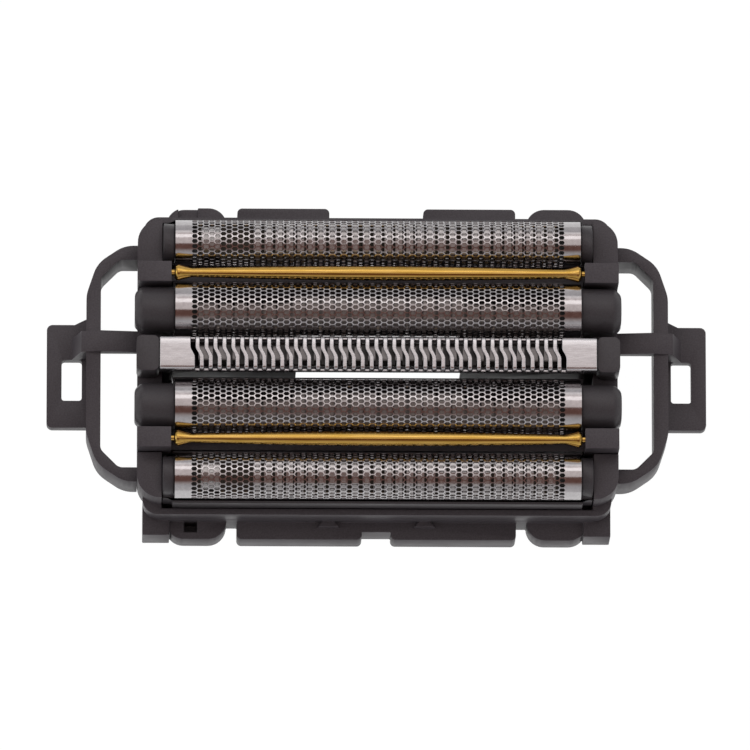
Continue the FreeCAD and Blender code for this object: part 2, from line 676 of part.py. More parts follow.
def make_outer_holder(label, place):
    """Holder of an outer foil, with a flat arched cheek at each end."""
    body = start_body(label)
    rail_top = outer_axis - s.holder_rail_drop
    add_holder_ring(body, s.outer_foil_radius, outer_axis, rail_top)
    radius = s.outer_foil_radius - s.cheek_drop
    cheek = arch_outline(radius, outer_axis, ledge_top)
    block(body, "cheek_right", [cheek], holder_inner_end, holder_outer_end, "YZ_Plane")
    block(body, "cheek_left", [cheek], -holder_outer_end, -holder_inner_end, "YZ_Plane")
    place_body(body, place)
    return body


def make_inner_holder(label, place):
    """Holder of an inner foil, with a rounded cap over the end wall at each end."""
    body = start_body(label)
    rail_top = inner_axis - s.holder_rail_drop
    add_holder_ring(body, s.inner_foil_radius, inner_axis, rail_top)
    cap_axis = s.inner_foil_top - s.cap_drop - s.cap_radius
    cap = arch_outline(s.cap_radius, cap_axis, cap_bottom)
    block(body, "cap_right", [cap], holder_inner_end, s.cap_outer, "YZ_Plane")
    last = block(body, "cap_left", [cap], -s.cap_outer, -holder_inner_end, "YZ_Plane")
    reach = s.cap_outer.value

    def is_end_edge(edge):
        box = edge.BoundBox
        at_end = box.XLength < 1e-6 and abs(abs(box.XMin) - reach) < 1e-4
        return at_end and box.ZMin > cap_axis.value - s.cap_skirt.value + 1e-3 or (
            at_end and box.ZLength > s.cap_skirt.value - 1e-3
        )

    dress_edges(body, "cap_ends", last, s.cap_round, is_end_edge, "Chamfer")
    place_body(body, place)
    return body


def make_outer_blades(label, place):
    """Outer cutter: arched steel fins on a spine, with an end block."""
    body = start_body(label)
    radius = s.outer_foil_radius - s.foil_sheet - s.running_gap
    root = outer_axis - s.fin_root
    low = root - s.spine_height
    half = radius - s.slide_gap * 2
    spine = rectangle(-s.cutter_half_length, s.cutter_half_length, -half, half)
    block(body, "spine", [(spine, None)], low, root)
    end_block = facet_arch_outline(radius - s.end_block_drop, outer_axis, root - s.spine_height / 2)
    block(body, "end_block", [end_block], -s.end_block_outer, -s.end_block_inner, "YZ_Plane")
    fin = facet_arch_outline(radius, outer_axis, root - s.spine_height / 2)
    first = -s.fin_start
    feature = block(body, "fin", [fin], first, first + s.fin_thick, "YZ_Plane")
    room = s.cutter_half_length.value + s.fin_start.value - s.fin_thick.value
    count = int(room / s.fin_pitch.value + 1e-6) + 1
    repeat_along_x(body, "fins", feature, s.fin_pitch, count)
    place_body(body, place)
    return body


def make_inner_blades(label, place):
    """Inner cutter: an arched steel bar with narrow cutting grooves."""
    body = start_body(label)
    radius = s.inner_foil_radius - s.foil_sheet - s.running_gap
    low = inner_axis - s.fin_root - s.spine_height
    bar = facet_arch_outline(radius, inner_axis, low)
    block(body, "bar", [bar], -s.cutter_half_length, s.cutter_half_length, "YZ_Plane")
    room = (s.cutter_half_length.value - s.groove_pitch.value) * 2
    count = int(room / s.groove_pitch.value + 1e-6) + 1
    first = -s.groove_pitch * ((count - 1) / 2) - s.groove_width / 2
    top = inner_axis + radius
    reach = radius + s.running_gap
    groove = rectangle(first, first + s.groove_width, -reach, reach)
    feature = block(
        body, "groove", [(groove, None)], top - s.groove_depth, top + s.running_gap, cut=True
    )
    repeat_along_x(body, "grooves", feature, s.groove_pitch, count)
    place_body(body, place)
    return body


def make_carrier(label, place, radius, axis):
    """Plastic carrier under a cutter, with a round drive socket in the middle."""
    body = start_body(label)
    half = radius - s.foil_sheet - s.running_gap - s.slide_gap * 2
    low = ledge_top + s.holder_lip_thick + s.slide_gap
    high = axis - s.fin_root - s.spine_height
    end = s.cutter_half_length + s.carrier_overhang
    bar = rectangle(-end, end, -half, half)
    block(body, "bar", [(bar, None)], low, high)
    socket = start_sketch(body, "socket_sketch", "XY_Plane", low)
    draw_circle(socket, ZERO, ZERO, s.socket_radius)
    extrude(body, "socket", socket, s.socket_depth, cut=True)
    place_body(body, place)
    return body


def roller_half_profile():
    """Return the roller's stations from the middle to the right end.

    The barrel falls from the middle to the neck as a parabola, and the flare opens
    from the neck to the end as a square law.
    """
    stations = []
    fall = s.roller_mid_radius - s.roller_neck_radius
    for i in range(BARREL_STEPS + 1):
        part = i / BARREL_STEPS
        stations.append((s.roller_neck_place * part, s.roller_mid_radius - fall * part ** 2))
    length = s.roller_half_length - s.roller_neck_place
    rise = s.roller_end_radius - s.roller_neck_radius
    for i in range(1, FLARE_STEPS + 1):
        part = i / FLARE_STEPS
        stations.append((s.roller_neck_place + length * part, s.roller_neck_radius + rise * part ** 2))
    return stations


def ring_section(name, x, radius):
    """Return a many-sided ring round the X axis, as a section of a turned piece."""
    ring = doc.addObject("Part::RegularPolygon", name)
    ring.Polygon = TURNED_SIDES
    bind(ring, "Circumradius", radius)
    ring.Placement = FreeCAD.Placement(FreeCAD.Vector(x.value, 0, 0), TURN_Z_TO_X)
    bind(ring, "Placement.Base.x", x)
    return ring


def make_roller(label, place):
    """Turned roller with flared ends, thin necks, a swelling barrel and two pivots."""
    right = roller_half_profile()
    stations = [(-x, radius) for x, radius in right[:0:-1]] + right
    profile = doc.addObject("Part::Loft", label + "_barrel")
    profile.Sections = [
        ring_section(f"{label}_section", x, radius) for x, radius in stations
    ]
    profile.Solid = True
    profile.Ruled = True
    pivot = doc.addObject("Part::Prism", label + "_pivot")
    pivot.Polygon = TURNED_SIDES
    bind(pivot, "Circumradius", s.pivot_radius)
    bind(pivot, "Height", s.pivot_end * 2)
    pivot.Placement = FreeCAD.Placement(FreeCAD.Vector(-s.pivot_end.value, 0, 0), TURN_Z_TO_X)
    bind(pivot, "Placement.Base.x", -s.pivot_end)
    roller = doc.addObject("Part::Fuse", label)
    roller.Label = label
    roller.Base = profile
    roller.Tool = pivot
    roller.Placement = FreeCAD.Placement(
        FreeCAD.Vector(0, place.value, s.roller_height.value), FreeCAD.Rotation()
    )
    bind(roller, "Placement.Base.y", place)
    bind(roller, "Placement.Base.z", s.roller_height)
    return roller


def make_slit_blade():
    """Centre blade: a steel channel with many stepped slots across its top."""
    body = start_body("slit_blade")
    half, sheet, top = s.slit_half_width, s.slit_sheet, s.slit_top
    edge = s.slit_edge
    low = top - s.slit_wall_height
    points = [
        (-half, low), (sheet - half, low), (sheet - half, top - edge),
        (edge - half, top - sheet), (half - edge, top - sheet),
        (half - sheet, top - edge), (half - sheet, low), (half, low),
        (half, top - edge), (half - edge, top), (edge - half, top), (-half, top - edge),
    ]
    block(body, "channel", [(points, None)], -s.slit_half_length, s.slit_half_length, "YZ_Plane")
    room = (s.slit_half_length.value - s.slit_land.value) * 2
    slots = int(room / s.slit_pitch.value + 1e-6) + 1
    first = -s.slit_pitch * ((slots - 1) / 2)
    width = (s.slit_pitch - s.slit_bar) / 2
    step = s.slit_shift / 2
    reach = half + s.slide_gap
    slot = [
        (first - step - width, reach), (first - step - width, s.slit_bend_rear),
        (first + step - width, -s.slit_bend_front), (first + step - width, -reach),
        (first + step + width, -reach), (first + step + width, -s.slit_bend_front),
        (first - step + width, s.slit_bend_rear), (first - step + width, reach),
    ]
    feature = block(
        body, "slot", [(slot, None)], top - s.slit_depth, top + s.slide_gap, cut=True
    )
    repeat_along_x(body, "slots", feature, s.slit_pitch, slots)
    return body


def make_slit_holder():
    """Holder of the slit blade: end blocks, inner rails, end legs and spring shelves."""
    body = start_body("slit_holder")
    block_top = s.slit_top - s.block_drop
    block_low = block_top - s.block_height
    width = s.block_half_width
    inner = s.slit_half_length + s.slide_gap
    blocks = [
        rounded_rectangle(inner, s.block_outer, -width, width, s.block_round),
        rounded_rectangle(-s.block_outer, -inner, -width, width, s.block_round),
    ]
    leg_half = comb_half_width
    rail_low = s.slit_top - s.slit_wall_height
    leg_top = s.slit_top - s.slit_edge - s.slide_gap
    leg_inner = holder_outer_end - s.holder_end
    legs = both_sides(leg_inner, holder_outer_end, -leg_half, leg_half)
    block(body, "legs", legs, ledge_top, leg_top)
    joins = both_sides(leg_inner, s.block_outer - s.block_round, -leg_half, leg_half)
    block(body, "joins", joins, block_low, rail_low)
    block(body, "blocks", blocks, block_low, block_top)
    rails = []
    for side in (1, -1):
        near, far = side * (blade_inner_half - s.slit_rail), side * blade_inner_half
        rails.append((rectangle(-holder_outer_end, holder_outer_end, near, far), None))
    block(body, "rails", rails, rail_low, rail_low + s.slit_rail_height)
    webs = four_corners(leg_inner, holder_outer_end, leg_half - s.slit_rail, blade_inner_half)
    block(body, "webs", webs, rail_low, rail_low + s.slit_rail_height)
    side = blade_inner_half
    shelves = both_sides(s.shelf_inner, leg_inner + s.slit_rail, -side, side)
    shelf_low = s.shelf_top - s.shelf_thick
    block(body, "shelves", shelves, shelf_low, s.shelf_top)
    skirts = four_corners(s.skirt_inner, leg_inner + s.slit_rail, side - s.slit_rail, side)
    block(body, "skirts", skirts, shelf_low, rail_low)
    return body


def make_slit_cutter():
    """Inner comb of the slit blade: a small steel channel with straight teeth."""
    body = start_body("slit_cutter")
    half, sheet = comb_half_width, s.comb_sheet
    slope = s.comb_shoulder
    points = [
        (-half, comb_bottom), (sheet - half, comb_bottom), (sheet - half, comb_top - slope - sheet),
        (slope + sheet / 2 - half, comb_top - sheet), (half - slope - sheet / 2, comb_top - sheet),
        (half - sheet, comb_top - slope - sheet), (half - sheet, comb_bottom), (half, comb_bottom),
        (half, comb_top - slope), (half - slope, comb_top), (slope - half, comb_top),
        (-half, comb_top - slope),
    ]
    block(body, "channel", [(points, None)], -s.comb_half_length, s.comb_half_length, "YZ_Plane")
    room = 2 * s.comb_half_length.value - s.comb_pitch.value
    count = int(room / s.comb_pitch.value + 1e-6)
    first = -s.comb_pitch * ((count - 1) / 2)
    width = (s.comb_pitch - s.comb_tooth) / 2
    reach = half + s.slide_gap
    gap = rectangle(first - width, first + width, -reach, reach)
    feature = block(
        body, "gap", [(gap, None)], comb_top - s.comb_slot_depth, comb_top + s.slide_gap, cut=True
    )
    repeat_along_x(body, "gaps", feature, s.comb_pitch, count)
    return body


def make_slit_slider():
    """Plastic slide under the comb, with two drive legs."""
    body = start_body("slit_slider")
    half = s.slider_half_width
    bar = rectangle(-s.comb_half_length, s.comb_half_length, -half, half)
    block(body, "bar", [(bar, None)], s.slider_bottom, slider_top)
    tongue = comb_half_width - s.comb_sheet
    rib = rectangle(-s.comb_half_length, s.comb_half_length, -tongue, tongue)
    rib_height = s.comb_height - s.comb_shoulder - s.comb_sheet - s.slide_gap
    block(body, "rib", [(rib, None)], slider_top, slider_top + rib_height)
    legs = both_sides(s.fork_inner, s.fork_outer, -half, half)
    block(body, "drive_legs", legs, s.fork_bottom, s.slider_bottom)
    return body


def make_slit_spring(label, x):
    """Coil spring that lifts the slit cutter against the blade.

    Its wire is swept along a helix of short straight runs, and starts and ends with a
    closed turn.
    """
    low = (s.shelf_top + s.seat_gap + s.spring_wire).value
    high = (s.slider_bottom - s.seat_gap - s.spring_wire).value
    turns = s.spring_turns.value
    count = int(turns * COIL_STEPS)
    path = []
    for i in range(count + 1):
        angle = 2 * math.pi * i / COIL_STEPS
        rise = low + (high - low) * i / count
        radius = s.spring_radius.value
        path.append(FreeCAD.Vector(radius * math.cos(angle), radius * math.sin(angle), rise))
    wire = Part.makePolygon(path)
    across = FreeCAD.Vector(1, 0, 0)
    upward = (path[1] - path[0]).cross(across).normalize()
    rim = []
    for i in range(WIRE_SIDES + 1):
        angle = 2 * math.pi * i / WIRE_SIDES
        rim.append(path[0] + (across * math.cos(angle) + upward * math.sin(angle)) * s.spring_wire.value)
    profile = Part.makePolygon(rim)
    coil = Part.BRepOffsetAPI.MakePipeShell(wire)
    coil.add(profile)
    coil.setTransitionMode(1)
    coil.build()
    coil.makeSolid()
    feature = doc.addObject("Part::Feature", label)
    feature.Label = label
    feature.Shape = coil.shape()
    feature.Placement = FreeCAD.Placement(FreeCAD.Vector(x.value, 0, 0), FreeCAD.Rotation())
    bind(feature, "Placement.Base.x", x)
    return feature


def make_release_arm(label, side):
    """Side arm: a flexible loop, a strap over it and the grip ring outside it."""
    body = start_body(label)
    root, outer, thick = s.head_half_length, s.arm_outer, s.arm_thick
    wide, corner = s.arm_side, s.arm_inner_corner
    outer_bends = [
        (outer - s.arm_shoulder, wide), (outer - s.arm_bow_x, wide - s.arm_bow_y),
        (outer, wide - s.arm_flank),
    ]
    inner_bends = [
        (outer - thick, wide - thick - corner), (outer - thick - corner, wide - thick),
    ]
    rear_side = [(root, wide), *outer_bends]
    inside = [*inner_bends, (root, wide - thick)]
    front_side = [(x, -y) for x, y in reversed(rear_side)]
    loop = rear_side + front_side + [(x, -y) for x, y in reversed(inside)] + inside
    last = block(body, "loop", [(mirrored(loop, side), None)], s.arm_bottom, s.arm_top)

    for name, bends, radius in (
        ("outer_bends", outer_bends, s.arm_outer_bend), ("inner_bends", inner_bends, s.arm_inner_bend),
    ):
        last = dress_edges(
            body, name, last, radius,
            lambda edge, bends=bends: any(is_upright_at(edge, x.value, y.value) for x, y in bends),
        )
    tenon_low, tenon_high = wide - thick + s.tenon_inset, wide - s.tenon_inset
    inner_end = root - s.tenon_length
    tenons = []
    for low, high in ((tenon_low, tenon_high), (-tenon_high, -tenon_low)):
        tenons.append((mirrored(rectangle(inner_end, root + thick / 2, low, high), side), None))
    block(body, "tenons", tenons, ledge_top, ledge_top + s.tenon_height)
    ring_low = s.ring_top - s.ring_thick
    bar, ring = outer - thick / 2, s.ring_outer
    points, arcs = rounded_rectangle(bar, ring, -s.ring_front, s.ring_rear, s.ring_corner)
    points[0], points[5] = (bar, -s.ring_front), (bar, s.ring_rear)
    points, arcs = points[0:6], {1: s.ring_corner, 3: s.ring_corner}
    block(body, "ring", [(mirrored(points, side), turned(arcs, side))], ring_low, s.ring_top)
    hole_rear = s.strap_place - s.strap_half_width
    hole, hole_arcs = rounded_rectangle(
        outer + s.ring_web, ring - s.ring_bar, -s.ring_hole_front, hole_rear, s.ring_hole_corner
    )
    hole_loop = (mirrored(hole, side), turned(hole_arcs, side))
    block(body, "ring_hole", [hole_loop], ring_low, s.ring_top, cut=True)
    gusset = [
        (bar, s.ring_rear), (outer + s.ring_gusset, s.ring_rear),
        (outer, s.ring_rear + s.ring_gusset / 2), (bar, s.ring_rear + s.ring_gusset / 2),
    ]
    block(body, "gusset", [(mirrored(gusset, side), None)], ring_low, s.ring_top)
    add_strap(body, side)
    return body


def mirrored(points, side):
    """Return the points as they are, or mirrored across X = 0."""
    if side > 0:
        return points
    return [(-x, y) for x, y in points]


def turned(arcs, side):
    """Return the arcs as they are, or turning the other way."""
    if side > 0:
        return arcs
    return {i: -radius for i, radius in arcs.items()}


def add_strap(body, side):
    """Add the strap that runs from the end wall over the loop and down to the ring."""
    root, outer, thick = s.head_half_length, s.arm_outer, s.arm_thick
    top = s.arm_top + s.strap_rise
    low = s.strap_place - s.strap_half_width
    high = s.strap_place + s.strap_half_width
    crest = outer - thick
    profile = [
        (root, s.arm_top - s.strap_thick), (crest, s.arm_top - s.strap_thick),
        (outer - thick / 2, s.ring_top - s.ring_thick), (outer + thick, s.ring_top - s.ring_thick),
        (outer + thick, s.ring_top), (outer + thick / 3, s.arm_top), (crest, top), (root, s.arm_top),
    ]
    block(body, "strap", [(mirrored(profile, side), None)], -high, -low, "XZ_Plane")


PLACES = {"rear": 1, "front": -1}

made = [make_base_frame(), make_head_frame()]
for name, side in PLACES.items():
    outer_place = side * s.outer_foil_place
    inner_place = side * s.inner_foil_place
    made.append(make_outer_holder(f"outer_holder_{name}", outer_place))
    made.append(make_inner_holder(f"inner_holder_{name}", inner_place))
    made.append(make_foil(f"outer_foil_{name}", outer_place, s.outer_foil_radius, outer_axis))
    made.append(make_foil(f"inner_foil_{name}", inner_place, s.inner_foil_radius, inner_axis))
    made.append(make_outer_blades(f"outer_blades_{name}", outer_place))
    made.append(make_inner_blades(f"inner_blades_{name}", inner_place))
    made.append(make_carrier(f"outer_carrier_{name}", outer_place, s.outer_foil_radius, outer_axis))
    made.append(make_carrier(f"inner_carrier_{name}", inner_place, s.inner_foil_radius, inner_axis))
    made.append(make_roller(f"roller_{name}", side * s.roller_place))
made += [make_slit_holder(), make_slit_blade(), make_slit_cutter(), make_slit_slider()]
made += [make_slit_spring("slit_spring_right", s.spring_place)]
made += [make_slit_spring("slit_spring_left", -s.spring_place)]
made += [make_release_arm("release_arm_right", 1), make_release_arm("release_arm_left", -1)]

doc.recompute()

faults = [
    f"{item.Label}: {item.State}" for item in doc.Objects
    if "Invalid" in item.State or "Error" in item.State
]
for body in made:
    shape = body.Shape
    if shape.isNull() or not shape.isValid() or not shape.Solids:
        faults.append(f"{body.Label}: bad shape")
if faults:
    raise RuntimeError("; ".join(faults))

os.makedirs("parts", exist_ok=True)
for body in made:
    body.Shape.exportStep(f"parts/{body.Label}.step")
    box = body.Shape.BoundBox
    print(
        f"{body.Label}: {len(body.Shape.Solids)} solid, {body.Shape.Volume:.2f} mm3, "
        f"x {box.XMin:.2f} {box.XMax:.2f} y {box.YMin:.2f} {box.YMax:.2f} "
        f"z {box.ZMin:.2f} {box.ZMax:.2f}"
    )
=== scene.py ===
"""Looks of a shaver foil head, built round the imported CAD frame.

The head has five cutting elements side by side: four arched foils with hexagonal holes
and one slotted centre blade, with two gold coloured rollers between the foils. All
lengths in the classes are millimetres, turned to metres where a mesh is made.
"""

from __future__ import annotations

import json
import logging
import math
from collections.abc import Callable
from dataclasses import dataclass, field
from enum import Enum

import bmesh
import bpy
import numpy as np
from mathutils import Matrix, Vector

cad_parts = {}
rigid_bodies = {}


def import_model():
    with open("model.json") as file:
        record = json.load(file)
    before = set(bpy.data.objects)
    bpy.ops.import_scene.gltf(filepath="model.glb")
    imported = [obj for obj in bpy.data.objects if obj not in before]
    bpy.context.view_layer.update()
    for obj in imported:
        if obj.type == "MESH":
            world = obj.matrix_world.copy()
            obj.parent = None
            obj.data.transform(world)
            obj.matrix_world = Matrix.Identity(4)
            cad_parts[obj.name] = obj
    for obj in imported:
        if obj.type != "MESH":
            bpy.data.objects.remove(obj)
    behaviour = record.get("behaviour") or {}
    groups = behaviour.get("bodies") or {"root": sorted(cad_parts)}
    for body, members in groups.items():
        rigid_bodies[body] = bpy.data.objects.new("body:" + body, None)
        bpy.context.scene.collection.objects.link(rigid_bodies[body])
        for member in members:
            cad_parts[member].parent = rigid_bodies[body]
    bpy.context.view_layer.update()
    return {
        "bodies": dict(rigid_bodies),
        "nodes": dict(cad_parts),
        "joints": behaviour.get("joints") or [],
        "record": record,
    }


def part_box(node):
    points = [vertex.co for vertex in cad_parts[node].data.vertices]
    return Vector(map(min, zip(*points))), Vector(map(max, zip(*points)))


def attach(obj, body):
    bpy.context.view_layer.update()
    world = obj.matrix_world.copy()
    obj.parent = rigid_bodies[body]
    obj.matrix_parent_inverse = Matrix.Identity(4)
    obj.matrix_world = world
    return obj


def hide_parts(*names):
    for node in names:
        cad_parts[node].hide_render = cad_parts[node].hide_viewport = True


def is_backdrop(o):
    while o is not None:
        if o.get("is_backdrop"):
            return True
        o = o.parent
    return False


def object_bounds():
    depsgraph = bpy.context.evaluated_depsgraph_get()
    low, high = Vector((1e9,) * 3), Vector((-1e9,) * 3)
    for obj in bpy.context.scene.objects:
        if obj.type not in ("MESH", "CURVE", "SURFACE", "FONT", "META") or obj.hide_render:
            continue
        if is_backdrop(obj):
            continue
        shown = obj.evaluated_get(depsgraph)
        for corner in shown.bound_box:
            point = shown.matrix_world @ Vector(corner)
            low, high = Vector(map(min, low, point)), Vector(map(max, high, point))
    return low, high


LOG = logging.getLogger("foil_head")
MM = 0.001

# Edges that are sharper than this stay sharp in the shading.
SHARP_ANGLE = math.radians(38)
# Faces of a moulding that meet at less than this are one flat face.
FLAT_ANGLE = math.radians(1.5)
# Edges that are sharper than these are rounded: a cap's chamfer, a moulding, a slot.
CHAMFER_ANGLE = math.radians(25)
SOFT_EDGE_ANGLE = math.radians(32)
SLOT_EDGE_ANGLE = math.radians(50)
# Points nearer to each other than this become one, in millimetres.
MERGE_REACH = 0.002
# Corners of a flat pattern are one if they agree to so many decimals of a millimetre.
PATTERN_DECIMALS = 5
# A count that misses a whole number by less than this still reaches it.
COUNT_SLACK = 1e-6
# The bevel profile that is an arc of a circle.
ROUND_PROFILE = 0.5


class Row(Enum):
    """The two rows of foils, one on each side of the centre blade."""

    REAR = "rear"
    FRONT = "front"


class Kind(Enum):
    """The two foils of a row, outside and inside of its roller."""

    OUTER = "outer"
    INNER = "inner"


class Axis(Enum):
    """The axis along which a finish changes."""

    X = "X"
    Y = "Y"
    Z = "Z"


# Colour and node helpers


def linear(colour: str) -> tuple[float, float, float, float]:
    """Turn an sRGB hex colour into linear RGBA by the sRGB curve.

    Args:
        colour: Six hex digits, with or without a leading hash.

    Returns:
        The linear red, green and blue, and an alpha of one.
    """
    digits = colour.lstrip("#")
    values = [int(digits[i:i + 2], 16) / 255 for i in (0, 2, 4)]
    straight = [v / 12.92 if v <= 0.04045 else ((v + 0.055) / 1.055) ** 2.4 for v in values]
    return (*straight, 1.0)


def add_node(
    tree: bpy.types.NodeTree,
    kind: str,
    settings: dict[str | int, object] | None = None,
    links: dict[str | int, bpy.types.NodeSocket] | None = None,
) -> bpy.types.Node:
    """Add a node, give its properties and inputs their values, and link its inputs.

    A property has a name in small letters. An input has a name with a capital, or a
    number where several inputs share a name.

    Args:
        tree: The node tree that gets the node.
        kind: The node's type name.
        settings: Values by property or input.
        links: Output sockets by the input that each goes to.

    Returns:
        The new node.
    """
    node = tree.nodes.new(kind)

    def find_input(key: str | int) -> bpy.types.NodeSocket:
        """Return the input with a name or a number."""
        if isinstance(key, int):
            return node.inputs[key]
        return next(s for s in node.inputs if s.name == key and s.enabled)

    values = settings or {}
    properties = [key for key in values if isinstance(key, str) and key.islower()]
    for key in properties:
        setattr(node, key, values[key])
    for key in values:
        if key not in properties:
            find_input(key).default_value = values[key]
    for key, output in (links or {}).items():
        tree.links.new(output, find_input(key))
    return node


def set_ramp(ramp: bpy.types.Node, stops: tuple[tuple[float, str], ...]) -> None:
    """Give a colour ramp its stops.

    Args:
        ramp: The ramp node.
        stops: Positions, each with a hex colour.
    """
    elements = ramp.color_ramp.elements
    while len(elements) < len(stops):
        elements.new(1.0)
    for element, (position, colour) in zip(elements, stops):
        element.position = position
        element.color = linear(colour)


# Finishes

# The grain noise has cells of one grain, and the patch noise cells of twenty grains.
GRAIN_NOISE = {"Scale": 1.0, "Detail": 3.0, "Roughness": 0.6}
PATCH_NOISE = {"Scale": 0.05, "Detail": 4.0, "Roughness": 0.55}
# Where the grain noise gives the dark tone and where it gives the light one.
DARK_TONE_AT = 0.36
LIGHT_TONE_AT = 0.62
# Where the sum of both noises gives the least and the greatest roughness.
LEAST_ROUGH_AT = 0.7
MOST_ROUGH_AT = 1.3


@dataclass(frozen=True)
class Finish:
    """What every finish has: a name, a colour, and a texture of grains of a real size.

    The grain's width and the bump's height are in millimetres. A stretch below one makes
    the grains longer along its axis.
    """

    name: str
    colour: str
    dark: str
    roughness: float
    spread: float
    grain: float
    bump: float
    stretch: tuple[float, float, float] = (1.0, 1.0, 1.0)
    metallic: float = 0.0
    specular: float = 0.5

    def tone(
        self, tree: bpy.types.NodeTree, place: bpy.types.NodeSocket, grain: bpy.types.NodeSocket
    ) -> bpy.types.NodeSocket:
        """Shade the colour between its dark and light tone by the grain noise.

        Args:
            tree: The material's node tree.
            place: The object coordinates, for finishes that change from place to place.
            grain: The grain noise.

        Returns:
            The colour.
        """
        ramp = add_node(tree, "ShaderNodeValToRGB", {}, {"Fac": grain})
        set_ramp(ramp, ((DARK_TONE_AT, self.dark), (LIGHT_TONE_AT, self.colour)))
        return ramp.outputs["Color"]

    def material(self) -> bpy.types.Material:
        """Make the material.

        A noise whose cells are about one grain across shades the colour between its
        light and dark tone, spreads the roughness and lifts the surface. A slower noise
        of twenty grains varies the roughness in patches, as handling does.

        Returns:
            The material.
        """
        material = bpy.data.materials.new(self.name)
        material.use_nodes = True
        tree = material.node_tree
        tree.nodes.clear()
        place = add_node(tree, "ShaderNodeTexCoord").outputs["Object"]
        scale = Vector(self.stretch) / (self.grain * MM)
        mapped = add_node(tree, "ShaderNodeMapping", {"Scale": scale}, {"Vector": place})
        where = {"Vector": mapped.outputs["Vector"]}
        grain = add_node(tree, "ShaderNodeTexNoise", GRAIN_NOISE, where).outputs["Fac"]
        patches = add_node(tree, "ShaderNodeTexNoise", PATCH_NOISE, where).outputs["Fac"]
        both = add_node(tree, "ShaderNodeMath", {"operation": "ADD"}, {0: grain, 1: patches})
        rough = add_node(
            tree, "ShaderNodeMapRange",
            {
                "From Min": LEAST_ROUGH_AT, "From Max": MOST_ROUGH_AT,
                "To Min": self.roughness - self.spread, "To Max": self.roughness + self.spread,
            },
            {"Value": both.outputs["Value"]},
        )
        relief = add_node(
            tree, "ShaderNodeBump", {"Strength": 1.0, "Distance": self.bump * MM},
            {"Height": grain},
        )
        shader = add_node(
            tree, "ShaderNodeBsdfPrincipled",
            {"Metallic": self.metallic, "Specular IOR Level": self.specular},
            {
                "Base Color": self.tone(tree, place, grain),
                "Roughness": rough.outputs["Result"],
                "Normal": relief.outputs["Normal"],
            },
        )
        add_node(tree, "ShaderNodeOutputMaterial", {}, {"Surface": shader.outputs["BSDF"]})
        return material


@dataclass(frozen=True)
class PaintedShadeMetal(Finish):
    """A metal with painted shade: its own tone in one place, mixed to a dark shade colour in the
    other.
    """

    shade: str = "#1d1b1a"

    def unshaded_share(
        self, tree: bpy.types.NodeTree, place: bpy.types.NodeSocket
    ) -> bpy.types.NodeSocket:
        """Work out how much a place is free of the painted shade, from zero to one.

        Args:
            tree: The material's node tree.
            place: The object coordinates.

        Returns:
            The unshaded share.
        """
        raise NotImplementedError

    def tone(
        self, tree: bpy.types.NodeTree, place: bpy.types.NodeSocket, grain: bpy.types.NodeSocket
    ) -> bpy.types.NodeSocket:
        """Mix the metal's tone with the painted shade colour by the unshaded share.

        Args:
            tree: The material's node tree.
            place: The object coordinates.
            grain: The grain noise.

        Returns:
            The colour.
        """
        mixed = add_node(
            tree, "ShaderNodeMix", {"data_type": "RGBA", "A": linear(self.shade)},
            {"Factor": self.unshaded_share(tree, place), "B": super().tone(tree, place, grain)},
        )
        return next(s for s in mixed.outputs if s.enabled)

    @staticmethod
    def distance(
        tree: bpy.types.NodeTree, place: bpy.types.NodeSocket, axis: Axis
    ) -> bpy.types.NodeSocket:
        """Work out how far a place is along an axis, to either side.

        Args:
            tree: The material's node tree.
            place: The object coordinates.
            axis: The axis.

        Returns:
            The distance, in metres.
        """
        split = add_node(tree, "ShaderNodeSeparateXYZ", {}, {"Vector": place})
        along = {0: split.outputs[axis.value]}
        size = add_node(tree, "ShaderNodeMath", {"operation": "ABSOLUTE"}, along)
        return size.outputs["Value"]


@dataclass(frozen=True)
class PartlyShaded(PaintedShadeMetal):
    """A metal with painted shade along an axis: bright on one stretch, dark beyond it.

    The distance at which it is all dark and the one at which it is all bright are taken
    from the middle plane for X and Y, and from the base for Z.
    """

    axis: Axis = Axis.Z
    dark_at: float = 0.0
    bright_at: float = 1.0

    def unshaded_share(
        self, tree: bpy.types.NodeTree, place: bpy.types.NodeSocket
    ) -> bpy.types.NodeSocket:
        """Let the unshaded share rise between the dark and the bright distance.

        Args:
            tree: The material's node tree.
            place: The object coordinates.

        Returns:
            The unshaded share.
        """
        share = add_node(
            tree, "ShaderNodeMapRange",
            {"From Min": self.dark_at * MM, "From Max": self.bright_at * MM},
            {"Value": self.distance(tree, place, self.axis)},
        )
        return share.outputs["Result"]


